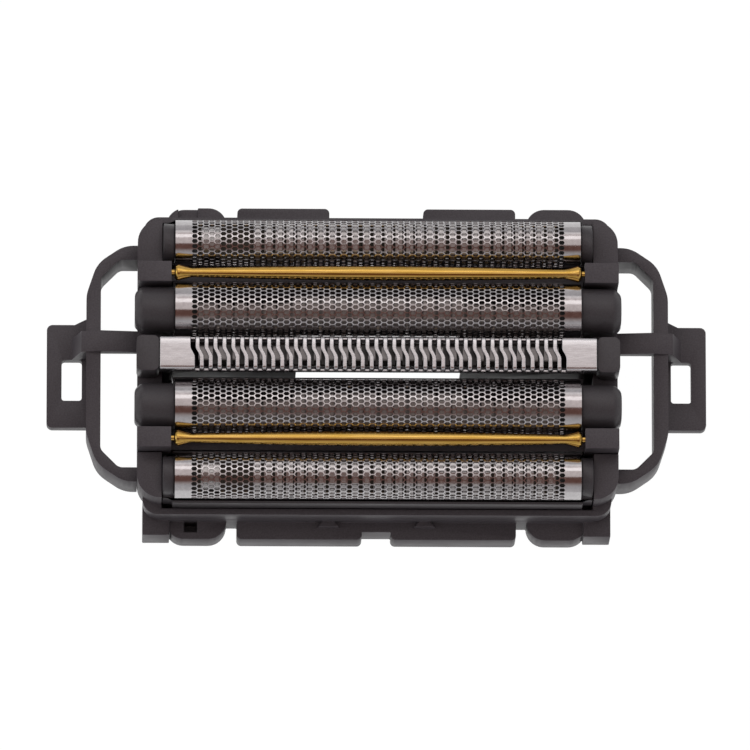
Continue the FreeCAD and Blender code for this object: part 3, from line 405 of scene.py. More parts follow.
@dataclass(frozen=True)
class FlankShaded(PaintedShadeMetal):
    """An arched metal piece, bright from its front flank up over the crown, with painted shade on
    its rear flank.

    The metal gets the painted shade where it lies further back from the arch's own axis than a
    share of the radius. The share is higher in the middle stretch than at both ends, so more of
    the arch is left bright there. Two like pieces stand as far before and behind the middle plane,
    so their distance from it wraps round to one and the same stretch.
    """

    node: str = "inner_blades_rear"
    middle_reach: float = 8.4
    end_reach: float = 9.6
    lean_in_middle: float = 0.3
    lean_at_ends: float = 0.0
    blur: float = 0.1

    def unshaded_share(
        self, tree: bpy.types.NodeTree, place: bpy.types.NodeSocket
    ) -> bpy.types.NodeSocket:
        """Compare each place's share of the radius with the greatest one that is left bright.

        Args:
            tree: The material's node tree.
            place: The object coordinates.

        Returns:
            The unshaded share.
        """
        limit = add_node(
            tree, "ShaderNodeMapRange",
            {
                "From Min": self.middle_reach * MM, "From Max": self.end_reach * MM,
                "To Min": self.lean_in_middle, "To Max": self.lean_at_ends,
            },
            {"Value": self.distance(tree, place, Axis.X)},
        )
        low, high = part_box(self.node)
        split = add_node(tree, "ShaderNodeSeparateXYZ", {}, {"Vector": place})
        wrapped = add_node(
            tree, "ShaderNodeMath", {"operation": "WRAP", 1: low[1] + high[1], 2: 0.0},
            {0: split.outputs["Y"]},
        )
        lean = add_node(
            tree, "ShaderNodeMapRange",
            {"From Min": low[1], "From Max": high[1], "To Min": -1.0, "To Max": 1.0},
            {"Value": wrapped.outputs["Value"]},
        )
        room = add_node(
            tree, "ShaderNodeMath", {"operation": "SUBTRACT"},
            {0: limit.outputs["Result"], 1: lean.outputs["Result"]},
        )
        share = add_node(
            tree, "ShaderNodeMapRange", {"From Min": -self.blur, "From Max": self.blur},
            {"Value": room.outputs["Value"]},
        )
        return share.outputs["Result"]


# Charcoal ABS from a mould with a fine spark-eroded texture: satin, with soft highlights.
HOUSING_PLASTIC = Finish(
    name="moulded_abs_charcoal", colour="#4e4b4f", dark="#454246",
    roughness=0.46, spread=0.06, grain=0.16, bump=0.006, specular=0.22,
)
# The same ABS from a smoother mould: the holders and caps shine a little more.
HOLDER_PLASTIC = Finish(
    name="moulded_abs_smooth", colour="#464447", dark="#3f3d40",
    roughness=0.4, spread=0.05, grain=0.14, bump=0.003, specular=0.25,
)
# Black acetal, dense and slippery, for the parts that slide: it looks waxy.
CARRIER_PLASTIC = Finish(
    name="moulded_acetal_black", colour="#1f1d1c", dark="#1a1817",
    roughness=0.38, spread=0.05, grain=0.2, bump=0.004,
)
# Electroformed nickel foil, bright and almost a mirror, with a faint orange peel.
FOIL_NICKEL = Finish(
    name="electroformed_nickel_foil", colour="#b9b6b7", dark="#afacad",
    roughness=0.15, spread=0.04, grain=0.5, bump=0.0008, metallic=1.0,
)
# Pressed and tumbled stainless steel: a soft shine with marks along the blade.
BLADE_STEEL = Finish(
    name="pressed_stainless_blade", colour="#cac9cb", dark="#bebdbf",
    roughness=0.26, spread=0.06, grain=0.2, bump=0.001, stretch=(0.15, 1.0, 1.0),
    metallic=1.0,
)
# Titanium nitride on steel: the gold colour of the rollers, polished along their length.
ROLLER_GOLD = Finish(
    name="titanium_nitride_gold", colour="#cba65c", dark="#ba9444",
    roughness=0.15, spread=0.04, grain=0.2, bump=0.0004, stretch=(0.06, 1.0, 1.0),
    metallic=1.0,
)
# Drawn spring steel wire, grey and lightly oiled.
SPRING_STEEL = Finish(
    name="drawn_spring_steel", colour="#a9a8a6", dark="#92918f",
    roughness=0.3, spread=0.06, grain=0.1, bump=0.001, metallic=1.0,
)
# Hardened stainless: the outer cutters' fins are ground, with fine lines across them, and the
# spine below them is painted shade, dark where it lies deep under the foil.
SHADED_FIN_STEEL = PartlyShaded(
    name="fins_over_painted_shade_spine", colour="#b9b7b6", dark="#a8a6a5",
    roughness=0.3, spread=0.06, grain=0.12, bump=0.001, stretch=(1.0, 0.2, 1.0),
    metallic=1.0, shade="#38342f", axis=Axis.Z, dark_at=10.2, bright_at=10.9,
)
# Hardened stainless: the inner cutters are bright on their front flank, and over the crown in the
# middle; the rest, towards the rear flank, is painted shade.
SHADED_INNER_STEEL = FlankShaded(
    name="cutter_with_painted_shade_rear_flank", colour="#96918f", dark="#847e7b",
    roughness=0.52, spread=0.06, grain=0.12, bump=0.001, stretch=(1.0, 0.2, 1.0),
    metallic=1.0,
)
# Hardened stainless: the comb's crests are bright, and its shoulders beside them are painted
# shade.
SHADED_COMB_STEEL = PartlyShaded(
    name="comb_with_painted_shade_shoulders", colour="#7a7878", dark="#6a6868",
    roughness=0.36, spread=0.05, grain=0.12, bump=0.001, metallic=1.0,
    axis=Axis.Y, dark_at=0.8, bright_at=0.5,
)

# The cutters share a material slot in the record, and each kind has a finish of its own.
CUTTER_FINISHES = {
    "outer_blades_rear": SHADED_FIN_STEEL,
    "outer_blades_front": SHADED_FIN_STEEL,
    "inner_blades_rear": SHADED_INNER_STEEL,
    "inner_blades_front": SHADED_INNER_STEEL,
    "slit_cutter": SHADED_COMB_STEEL,
}

SLOT_FINISHES = {
    "housing_plastic": HOUSING_PLASTIC,
    "holder_plastic": HOLDER_PLASTIC,
    "carrier_plastic": CARRIER_PLASTIC,
    "foil_steel": FOIL_NICKEL,
    "blade_steel": BLADE_STEEL,
    "spring_steel": SPRING_STEEL,
    "roller_metal": ROLLER_GOLD,
}


class Wardrobe:
    """Makes each finish's material once and hands it out."""

    def __init__(self) -> None:
        """Start with no materials made."""
        self.made: dict[str, bpy.types.Material] = {}

    def get(self, node: str, slot: str) -> bpy.types.Material:
        """Return a node's material.

        Args:
            node: The node's name.
            slot: The record's name of its material slot.

        Returns:
            The material.
        """
        finish = CUTTER_FINISHES.get(node) or SLOT_FINISHES[slot]
        if finish.name not in self.made:
            self.made[finish.name] = finish.material()
        return self.made[finish.name]


# Mesh helpers


def node_box(node: str) -> tuple[np.ndarray, np.ndarray]:
    """Return the low and the high corner of a node's box, in millimetres.

    Args:
        node: The node's name.

    Returns:
        Both corners.
    """
    low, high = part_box(node)
    return np.array(low) / MM, np.array(high) / MM


def add_object(name: str, mesh: bpy.types.Mesh) -> bpy.types.Object:
    """Put a mesh into the scene as a smooth shaded object at the origin.

    Args:
        name: The object's name.
        mesh: The mesh.

    Returns:
        The object.
    """
    mesh.polygons.foreach_set("use_smooth", np.ones(len(mesh.polygons), dtype=bool))
    thing = bpy.data.objects.new(name, mesh)
    bpy.context.scene.collection.objects.link(thing)
    return thing


def mesh_object(name: str, points: np.ndarray, faces: np.ndarray) -> bpy.types.Object:
    """Make a mesh object from points in millimetres and four-cornered faces.

    Args:
        name: The object's name.
        points: One row of x, y and z per point.
        faces: One row of point numbers per face.

    Returns:
        The object, smooth shaded with sharp edges kept.
    """
    mesh = bpy.data.meshes.new(name)
    mesh.from_pydata((points * MM).tolist(), [], faces.tolist())
    mesh.update()
    thing = add_object(name, mesh)
    mesh.set_sharp_from_angle(angle=SHARP_ANGLE)
    return thing


def ring_faces(rings: int, sides: int) -> np.ndarray:
    """Return the faces between rings of points that are numbered ring by ring.

    Args:
        rings: How many rings there are.
        sides: How many points a ring has.

    Returns:
        One row of four point numbers per face.
    """
    here = np.arange(sides)
    after = (here + 1) % sides
    start = np.arange(rings - 1)[:, None] * sides
    return np.stack(
        [start + here, start + after, start + sides + after, start + sides + here], axis=-1
    ).reshape(-1, 4)


@dataclass
class PiercedSheet:
    """A sheet cut with holes in its flat pattern and then bent to its form.

    The flat pattern is a list of four-cornered pieces whose corners are (length, run)
    in millimetres. Equal corners are joined, and each edge that only one piece has gets
    a wall through the sheet, which closes the holes and the outline.
    """

    name: str
    pieces: list[np.ndarray] = field(default_factory=list)

    def add(self, corners: np.ndarray) -> None:
        """Add pieces of the pattern.

        Args:
            corners: An array of pieces, four corners and two coordinates.
        """
        self.pieces.append(np.asarray(corners, dtype=float).reshape(-1, 4, 2))

    def add_grid(self, lengths: np.ndarray, places: np.ndarray) -> None:
        """Add a plain grid between the given lengths and places along the run.

        Args:
            lengths: The lengths, rising.
            places: The places along the run, rising.
        """
        grid = np.stack(np.meshgrid(lengths, places, indexing="ij"), axis=-1)
        self.add(np.stack([grid[:-1, :-1], grid[1:, :-1], grid[1:, 1:], grid[:-1, 1:]], axis=2))

    def bend(
        self, form: Callable[[np.ndarray, float], np.ndarray], thickness: float
    ) -> bpy.types.Object:
        """Bend the pattern and close it.

        Args:
            form: Turns the pattern's points into points at a depth below the outer skin.
            thickness: The sheet's thickness, in millimetres.

        Returns:
            The finished sheet.
        """
        corners = np.round(np.concatenate(self.pieces).reshape(-1, 2), PATTERN_DECIMALS)
        flat, index = np.unique(corners, axis=0, return_inverse=True)
        count = len(flat)
        faces = index.reshape(-1, 4)
        starts = faces.reshape(-1)
        ends = np.roll(faces, -1, axis=1).reshape(-1)
        keys = np.minimum(starts, ends) * count + np.maximum(starts, ends)
        _, first, uses = np.unique(keys, return_index=True, return_counts=True)
        rim = first[uses == 1]
        a, b = starts[rim], ends[rim]
        walls = np.stack([b, a, a + count, b + count], axis=-1)
        inside = faces[:, ::-1] + count
        points = np.concatenate([form(flat, 0.0), form(flat, thickness)])
        return mesh_object(self.name, points, np.concatenate([faces, inside, walls]))


def soften(thing: bpy.types.Object, width: float, steps: int, angle: float) -> None:
    """Round a piece's sharp edges.

    Args:
        thing: The piece.
        width: The rounding, in millimetres.
        steps: How many steps the rounding has.
        angle: The least angle of an edge that is rounded, in radians.
    """
    bevel = thing.modifiers.new("soft_edges", "BEVEL")
    bevel.width = width * MM
    bevel.segments = steps
    bevel.limit_method = "ANGLE"
    bevel.angle_limit = angle
    bevel.harden_normals = True
    bevel.use_clamp_overlap = True


def round_ends(work: bmesh.types.BMesh, reach: float, width: float, steps: int) -> None:
    """Turn the chamfered outer ends of a piece into roundings.

    Args:
        work: The piece's mesh.
        reach: How far from the piece's left and right end edges are taken, in millimetres.
        width: The rounding of each chamfer edge, in millimetres.
        steps: How many steps the rounding has.
    """
    outer = max(abs(vert.co.x) for vert in work.verts)
    near = outer - reach * MM
    edges = [
        edge for edge in work.edges
        if all(abs(vert.co.x) > near for vert in edge.verts)
        and edge.calc_face_angle(0.0) > CHAMFER_ANGLE
    ]
    bmesh.ops.bevel(
        work, geom=edges, offset=width * MM, offset_type="OFFSET", segments=steps,
        profile=ROUND_PROFILE, affect="EDGES", clamp_overlap=True,
    )


# Dressing


@dataclass
class Dresser:
    """Gives pieces their body, their slot and their material."""

    frame: dict
    wardrobe: Wardrobe

    def __post_init__(self) -> None:
        """Work out which body and slot each node has."""
        record = self.frame["record"]
        bodies = record["behaviour"]["bodies"]
        self.body_of = {node: body for body, nodes in bodies.items() for node in nodes}
        self.slot_of = {part["node"]: part["material_slot"] for part in record["subparts"]}

    def stand_in(self, piece: bpy.types.Object, node: str) -> None:
        """Let a piece stand for a node.

        Args:
            piece: The piece that shows.
            node: The node that it replaces.
        """
        slot = self.slot_of[node]
        piece.data.materials.clear()
        piece.data.materials.append(self.wardrobe.get(node, slot))
        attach(piece, self.body_of[node])
        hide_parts(node)
        LOG.info("%s stands for %s", piece.name, node)

    def dress_node(self, node: str) -> None:
        """Give a CAD node that stays its finish.

        Args:
            node: The node's name.
        """
        thing = self.frame["nodes"][node]
        material = self.wardrobe.get(node, self.slot_of[node])
        if not thing.material_slots:
            thing.data.materials.append(material)
        for place in thing.material_slots:
            place.material = material
        LOG.info("%s has its finish", node)


# Foils and rollers


@dataclass(frozen=True)
class Arch:
    """A foil's form: half a circle over its width, with a straight leg at each side."""

    radius: float
    middle: float
    axis: float
    foot: float
    half_length: float

    @classmethod
    def of(cls, node: str) -> Arch:
        """Read the form off a node's box.

        Args:
            node: The node's name.

        Returns:
            The form.
        """
        low, high = node_box(node)
        radius = (high[1] - low[1]) / 2
        return cls(radius, (high[1] + low[1]) / 2, high[2] - radius, low[2], high[0])

    @property
    def quarter(self) -> float:
        """Return the run from the crown to a leg."""
        return self.radius * math.pi / 2

    @property
    def run(self) -> float:
        """Return the run from the crown to the foot."""
        return self.quarter + self.axis - self.foot

    def bent(self, flat: np.ndarray, depth: float) -> np.ndarray:
        """Lay the run over the circle and down the legs.

        The angle is the run over the radius, a quarter turn at most. Its sine and cosine
        times the radius, less the depth, give y and z, and the rest of the run goes
        straight down.

        Args:
            flat: Rows of length and run.
            depth: The depth below the outer skin.

        Returns:
            Rows of x, y and z.
        """
        length, place = flat[:, 0], flat[:, 1]
        angle = np.clip(place, -self.quarter, self.quarter) / self.radius
        below = np.maximum(np.abs(place) - self.quarter, 0)
        reach = self.radius - depth
        across = self.middle + reach * np.sin(angle)
        return np.stack([length, across, self.axis + reach * np.cos(angle) - below], axis=-1)


def hexagon(point: float, shoulder: float, half: float) -> np.ndarray:
    """Return a hexagon with points at left and right, counter-clockwise.

    Args:
        point: How far both points lie from the middle.
        shoulder: How far the other corners lie from it along the length.
        half: Half the hexagon's height.

    Returns:
        Its six corners.
    """
    return np.array([
        (point, 0), (shoulder, half), (-shoulder, half),
        (-point, 0), (-shoulder, -half), (shoulder, -half),
    ])


@dataclass
class HexFoil:
    """An arched foil with hexagonal holes.

    The holes stand in columns half a pitch apart in height, so that the webs between
    them form a honeycomb. Each cell is a hexagon with points at left and right, whose
    shoulders lie a third of a column step from its middle. Long columns, which have one
    cell more than short ones, come first and last.
    """

    node: str
    sheet: float = 0.1
    column_step: float = 0.594
    pitch: float = 0.537
    hole_point: float = 0.31
    hole_shoulder: float = 0.172
    hole_half: float = 0.214
    band: float = 1.5
    flank_steps: int = 2

    @property
    def shoulder(self) -> float:
        """Return how far a cell's shoulder lies from its middle."""
        return self.column_step / 3

    @property
    def point(self) -> float:
        """Return how far a cell's point lies from its middle."""
        return self.column_step - self.shoulder

    def build(self) -> bpy.types.Object:
        """Cut the pattern and bend it over the arch.

        Returns:
            The finished foil.
        """
        arch = Arch.of(self.node)
        room = arch.half_length - self.band - self.point
        side_columns = int(room / self.column_step + COUNT_SLACK)
        columns = np.arange(-side_columns, side_columns + 1)
        is_long = columns % 2 == side_columns % 2
        long, short = columns[is_long] * self.column_step, columns[~is_long] * self.column_step
        rows = int(2 * arch.quarter / self.pitch)
        top = rows * self.pitch / 2
        legs = np.append(np.linspace(top, arch.quarter, self.flank_steps + 1), arch.run)
        sheet = PiercedSheet(self.node + "_mesh")
        self._add_cells(sheet, long, rows)
        self._add_cells(sheet, short, rows - 1)
        self._add_fillers(sheet, short, top)
        self._add_legs(sheet, np.concatenate([long - self.shoulder, long + self.shoulder]), legs)
        self._add_ends(sheet, long[-1], arch.half_length, rows)
        for side in (1, -1):
            edges = side * np.array([long[-1] + self.shoulder, arch.half_length])
            self._add_legs(sheet, edges, legs)
        return sheet.bend(arch.bent, self.sheet)

    def _add_cells(self, sheet: PiercedSheet, columns: np.ndarray, rows: int) -> None:
        """Add columns of cells, each a ring of six pieces round its hole.

        Args:
            sheet: The sheet.
            columns: The columns' places along the length.
            rows: How many cells a column has.
        """
        cell = hexagon(self.point, self.shoulder, self.pitch / 2)
        hole = hexagon(self.hole_point, self.hole_shoulder, self.hole_half)
        ring = np.stack([cell, np.roll(cell, -1, axis=0), np.roll(hole, -1, axis=0), hole], axis=1)
        places = (np.arange(rows) - (rows - 1) / 2) * self.pitch
        centres = np.stack(np.meshgrid(columns, places, indexing="ij"), axis=-1)
        sheet.add(centres.reshape(-1, 1, 1, 2) + ring)

    def _add_fillers(self, sheet: PiercedSheet, columns: np.ndarray, top: float) -> None:
        """Fill the half cells above and below the short columns.

        Args:
            sheet: The sheet.
            columns: The short columns' places along the length.
            top: Where the holes' stretch of the run ends.
        """
        for edge in (1, -1):
            outer, inner = edge * top, edge * (top - self.pitch / 2)
            half_cell = np.array([
                (-self.point, outer), (-self.shoulder, inner),
                (self.shoulder, inner), (self.point, outer),
            ])
            sheet.add(self._facing(columns[:, None, None] * np.array([1, 0]) + half_cell))

    def _add_ends(self, sheet: PiercedSheet, last: float, half_length: float, rows: int) -> None:
        """Add the plain bands at both ends, which follow the zigzag of the last cells.

        Args:
            sheet: The sheet.
            last: The last column's place along the length.
            half_length: Half the foil's length.
            rows: How many cells that column has.
        """
        number = np.arange(2 * rows + 1)
        places = (number - rows) * self.pitch / 2
        zigzag = np.where(number % 2 == 0, self.shoulder, self.point) + last
        for side in (1, -1):
            near = np.stack([side * zigzag, places], axis=-1)
            far = np.stack([np.full_like(places, side * half_length), places], axis=-1)
            pieces = np.stack([near[:-1], far[:-1], far[1:], near[1:]], axis=1)
            sheet.add(self._facing(pieces))

    @staticmethod
    def _add_legs(sheet: PiercedSheet, lengths: np.ndarray, legs: np.ndarray) -> None:
        """Add the plain sheet between the holes and both feet.

        Args:
            sheet: The sheet.
            lengths: The places of its points along the length.
            legs: The places of its points along the run, rising.
        """
        for places in (legs, -legs[::-1]):
            sheet.add_grid(np.sort(lengths), places)

    @staticmethod
    def _facing(corners: np.ndarray) -> np.ndarray:
        """Turn pieces so that all run the same way round.

        Args:
            corners: An array of pieces, four corners and two coordinates.

        Returns:
            The same pieces, counter-clockwise in length and run.
        """
        after = np.roll(corners, -1, axis=1)
        area = (corners[..., 0] * after[..., 1] - corners[..., 1] * after[..., 0]).sum(axis=1)
        return np.where(area[:, None, None] < 0, corners[:, ::-1], corners)


@dataclass
class Roller:
    """A turned roller: barrel, thin necks, round ends and pivots."""

    node: str
    neck_place: float = 19.2
    neck_radius: float = 0.48
    bulge_place: float = 20.65
    cone_power: float = 1.3
    end_face: float = 21.1
    face_radius: float = 0.45
    barrel_drop: float = 0.09
    pivot_radius: float = 0.32
    pivot_edge: float = 0.05
    sides: int = 48
    barrel_steps: int = 30
    flare_steps: int = 12

    def profile(self, middle: float, end: float, reach: float) -> np.ndarray:
        """Return the profile from the middle to the right pivot's tip.

        The barrel falls as a parabola to the neck. The end opens as a slightly hollow cone
        to its widest place and closes as a quarter ellipse to a small flat face.

        Args:
            middle: The barrel's radius in the middle.
            end: The greatest radius of the ends.
            reach: The end of the pivot.

        Returns:
            Rows of place along the axis and radius.
        """
        part = np.linspace(0, 1, self.barrel_steps)
        barrel = np.stack(
            [part * self.neck_place, middle - (middle - self.neck_radius) * part**2], axis=-1
        )
        part = np.linspace(0, 1, self.flare_steps)[1:]
        cone = np.stack(
            [
                self.neck_place + (self.bulge_place - self.neck_place) * part,
                self.neck_radius + (end - self.neck_radius) * part**self.cone_power,
            ],
            axis=-1,
        )
        turn = part * math.pi / 2
        close = np.stack(
            [
                self.bulge_place + (self.end_face - self.bulge_place) * np.sin(turn),
                self.face_radius + (end - self.face_radius) * np.cos(turn),
            ],
            axis=-1,
        )
        pivot = np.array([
            (self.end_face, self.pivot_radius), (reach - self.pivot_edge, self.pivot_radius),
            (reach, self.pivot_radius - self.pivot_edge), (reach, 0),
        ])
        return np.concatenate([barrel, cone, close, pivot])

    def build(self) -> bpy.types.Object:
        """Turn the profile round the roller's axis.

        Each point of the profile becomes a ring: y and z are the cosine and the sine of
        the turn times the radius.

        Returns:
            The finished roller.
        """
        low, high = node_box(self.node)
        centre = (low + high) / 2
        end = (high[2] - low[2]) / 2
        right = self.profile(end - self.barrel_drop, end, high[0])
        whole = np.concatenate([right[:0:-1] * np.array([-1, 1]), right])
        angle = np.linspace(0, 2 * math.pi, self.sides, endpoint=False)
        points = np.stack(
            [
                np.repeat(whole[:, :1], self.sides, axis=1),
                centre[1] + whole[:, 1:] * np.cos(angle),
                centre[2] + whole[:, 1:] * np.sin(angle),
            ],
            axis=-1,
        ).reshape(-1, 3)
        thing = mesh_object(self.node + "_turned", points, ring_faces(len(whole), self.sides))
        self._close(thing)
        return thing

    @staticmethod
    def _close(thing: bpy.types.Object) -> None:
        """Make one point of each tip's ring and let the faces look outwards.

        Args:
            thing: The turned piece.
        """
        work = bmesh.new()
        work.from_mesh(thing.data)
        bmesh.ops.remove_doubles(work, verts=work.verts, dist=MERGE_REACH * MM)
        bmesh.ops.recalc_face_normals(work, faces=work.faces)
        work.to_mesh(thing.data)
        work.free()
        thing.data.set_sharp_from_angle(angle=SHARP_ANGLE)


@dataclass
class FoilRows:
    """The two rows of foils with the rollers between them."""

    dresser: Dresser

    def build(self) -> None:
        """Make the four foils and the two rollers."""
        for row in Row:
            for kind in Kind:
                node = f"{kind.value}_foil_{row.value}"
                self.dresser.stand_in(HexFoil(node).build(), node)
            node = f"roller_{row.value}"
            self.dresser.stand_in(Roller(node).build(), node)


# The centre blade


@dataclass(frozen=True)
class Channel:
    """The centre blade's form: a flat top, a round edge and a wall at each side."""

    half_width: float
    top: float
    foot: float
    half_length: float
    radius: float

    @classmethod
    def of(cls, node: str, radius: float) -> Channel:
        """Read the form off a node's box.

        Args:
            node: The node's name.
            radius: The round edges' outer radius.

        Returns:
            The form.
        """
        low, high = node_box(node)
        return cls(high[1], high[2], low[2], high[0], radius)

    @property
    def flat_half(self) -> float:
        """Return the run from the middle to the round edge."""
        return self.half_width - self.radius

    @property
    def wall_start(self) -> float:
        """Return the run from the middle to the wall."""
        return self.flat_half + self.radius * math.pi / 2

    @property
    def run(self) -> float:
        """Return the run from the middle to the foot."""
        return self.wall_start + self.top - self.radius - self.foot

    def bent(self, flat: np.ndarray, depth: float) -> np.ndarray:
        """Lay the run flat over the top, round each edge and down each wall.

        The angle rises with the run past the flat half, over the radius, to a quarter
        turn. Its sine and cosine times the radius, less the depth, go outwards and up,
        and the rest of the run goes straight down.

        Args:
            flat: Rows of length and run.
            depth: The depth below the outer skin.

        Returns:
            Rows of x, y and z.
        """
        place, side = np.abs(flat[:, 1]), np.sign(flat[:, 1])
        reach = self.radius - depth
        angle = np.clip((place - self.flat_half) / self.radius, 0, math.pi / 2)
        across = np.minimum(place, self.flat_half) + reach * np.sin(angle)
        below = np.maximum(place - self.wall_start, 0)
        height = self.top - self.radius + reach * np.cos(angle) - below
        return np.stack([flat[:, 0], side * across, height], axis=-1)


@dataclass
class CentreBlade:
    """The slotted blade in the middle: a channel with stepped slots over both edges."""

    dresser: Dresser
    node: str = "slit_blade"
    sheet: float = 0.25
    edge_radius: float = 0.42
    pitch: float = 0.924
    bar: float = 0.43
    shift: float = 0.44
    bend_rear: float = 0.65
    bend_front: float = 0.5
    slot_depth: float = 0.75
    end_land: float = 3.2
    corner_steps: int = 4
    bend_steps: int = 6
    soft_edge: float = 0.09
    soft_steps: int = 3

    def build(self) -> None:
        """Cut the slots in the flat pattern, bend it to the channel and dress it."""
        channel = Channel.of(self.node, self.edge_radius)
        slot_run = channel.wall_start + self.slot_depth - channel.radius
        land = channel.half_length - self.end_land
        slots = int(2 * land / self.pitch + COUNT_SLACK) + 1
        middles = (np.arange(slots) - (slots - 1) / 2) * self.pitch
        places = self._stations(channel, slot_run)
        sheet = PiercedSheet(self.node + "_bent")
        self._add_bars(sheet, channel, middles, places)
        self._add_wall(sheet, channel, middles, np.array([slot_run, channel.run]))
        self._add_wall(sheet, channel, middles, np.array([-channel.run, -slot_run]))
        blade = sheet.bend(channel.bent, self.sheet)
        soften(blade, self.soft_edge, self.soft_steps, SLOT_EDGE_ANGLE)
        self.dresser.stand_in(blade, self.node)

    def _stations(self, channel: Channel, slot_run: float) -> np.ndarray:
        """Return the places along the run at which the bars have points.

        Args:
            channel: The blade's form.
            slot_run: The run from the middle to a slot's end.

        Returns:
            The places, rising.
        """
        edge = np.linspace(channel.flat_half, channel.wall_start, self.corner_steps + 1)
        edge = np.append(edge, slot_run)
        bend = np.linspace(-self.bend_front, self.bend_rear, self.bend_steps + 1)
        return np.concatenate([-edge[::-1], bend, edge])

    def _lean(self, places: np.ndarray) -> np.ndarray:
        """Return how far a bar steps aside along its run.

        The part is 0 before the bend and 1 behind it. The step goes from plus half the
        shift to minus half of it as the part does, with a soft start and end: three
        times the part squared, less twice the part cubed.

        Args:
            places: The places along the run.

        Returns:
            The step at each place.
        """
        part = np.clip((places + self.bend_front) / (self.bend_front + self.bend_rear), 0, 1)
        return self.shift * (0.5 - part**2 * (3 - 2 * part))

    def _add_bars(
        self, sheet: PiercedSheet, channel: Channel, middles: np.ndarray, places: np.ndarray
    ) -> None:
        """Add the bars between the slots and the lands at both ends.

        Args:
            sheet: The sheet.
            channel: The blade's form.
            middles: The slots' places along the length.
            places: The places of the bars' points along the run.
        """
        cut = (self.pitch - self.bar) / 2
        stepped = middles[:, None] + self._lean(places)
        straight = np.full((1, len(places)), channel.half_length)
        lefts = np.concatenate([-straight, stepped + cut])
        rights = np.concatenate([stepped - cut, straight])
        for left, right in zip(lefts, rights):
            near = np.stack([left, places], axis=-1)
            far = np.stack([right, places], axis=-1)
            sheet.add(np.stack([near[:-1], far[:-1], far[1:], near[1:]], axis=1))

    def _add_wall(
        self, sheet: PiercedSheet, channel: Channel, middles: np.ndarray, run: np.ndarray
    ) -> None:
        """Add the wall below the slots of one side.

        Args:
            sheet: The sheet.
            channel: The blade's form.
            middles: The slots' places along the length.
            run: Where the wall begins and ends along the run, rising.
        """
        cut = (self.pitch - self.bar) / 2
        foot = middles + self._lean(run)[0]
        half = channel.half_length
        sheet.add_grid(np.sort(np.concatenate([[-half, half], foot + cut, foot - cut])), run)


# Plastic pieces and the rest


@dataclass
class Mouldings:
    """The plastic pieces, with the small roundings that a mould leaves."""

    dresser: Dresser
    housing_rounding: float = 0.16
    holder_rounding: float = 0.1
    rounding_steps: int = 2
    cap_reach: float = 0.75
    cap_rounding: float = 0.3
    cap_steps: int = 3

    def build(self) -> None:
        """Round the edges of every plastic piece that shows."""
        widths = {
            "housing_plastic": self.housing_rounding,
            "holder_plastic": self.holder_rounding,
        }
        for node, slot in self.dresser.slot_of.items():
            if slot in widths:
                self.dresser.stand_in(self._rounded(node, widths[slot]), node)

    def _rounded(self, node: str, width: float) -> bpy.types.Object:
        """Copy a CAD node, join its loose triangles and round its edges.

        The inner holders carry the caps, whose ends are chamfered in the CAD model and
        round here.

        Args:
            node: The node's name.
            width: The rounding, in millimetres.

        Returns:
            The new piece, which still has to stand for the node.
        """
        name = node + "_soft"
        mesh = self.dresser.frame["nodes"][node].data.copy()
        mesh.name = name
        work = bmesh.new()
        work.from_mesh(mesh)
        bmesh.ops.remove_doubles(work, verts=work.verts, dist=MERGE_REACH * MM)
        bmesh.ops.dissolve_limit(
            work, angle_limit=FLAT_ANGLE, verts=work.verts, edges=work.edges
        )
        if node.startswith("inner_holder"):
            round_ends(work, self.cap_reach, self.cap_rounding, self.cap_steps)
        work.to_mesh(mesh)
        work.free()
        thing = add_object(name, mesh)
        soften(thing, width, self.rounding_steps, SOFT_EDGE_ANGLE)
        return thing


@dataclass
class KeptNodes:
    """The CAD nodes that stay as they are and only get their finish."""

    dresser: Dresser

    def build(self) -> None:
        """Dress every node that nothing has replaced."""
        for node, thing in self.dresser.frame["nodes"].items():
            if not thing.hide_render:
                self.dresser.dress_node(node)


# Studio


@dataclass(frozen=True)
class SoftBox:
    """A soft box that faces the head, with its brightness where 1 is paper white."""

    name: str
    place: tuple[float, float, float]
    width: float
    depth: float
    brightness: float


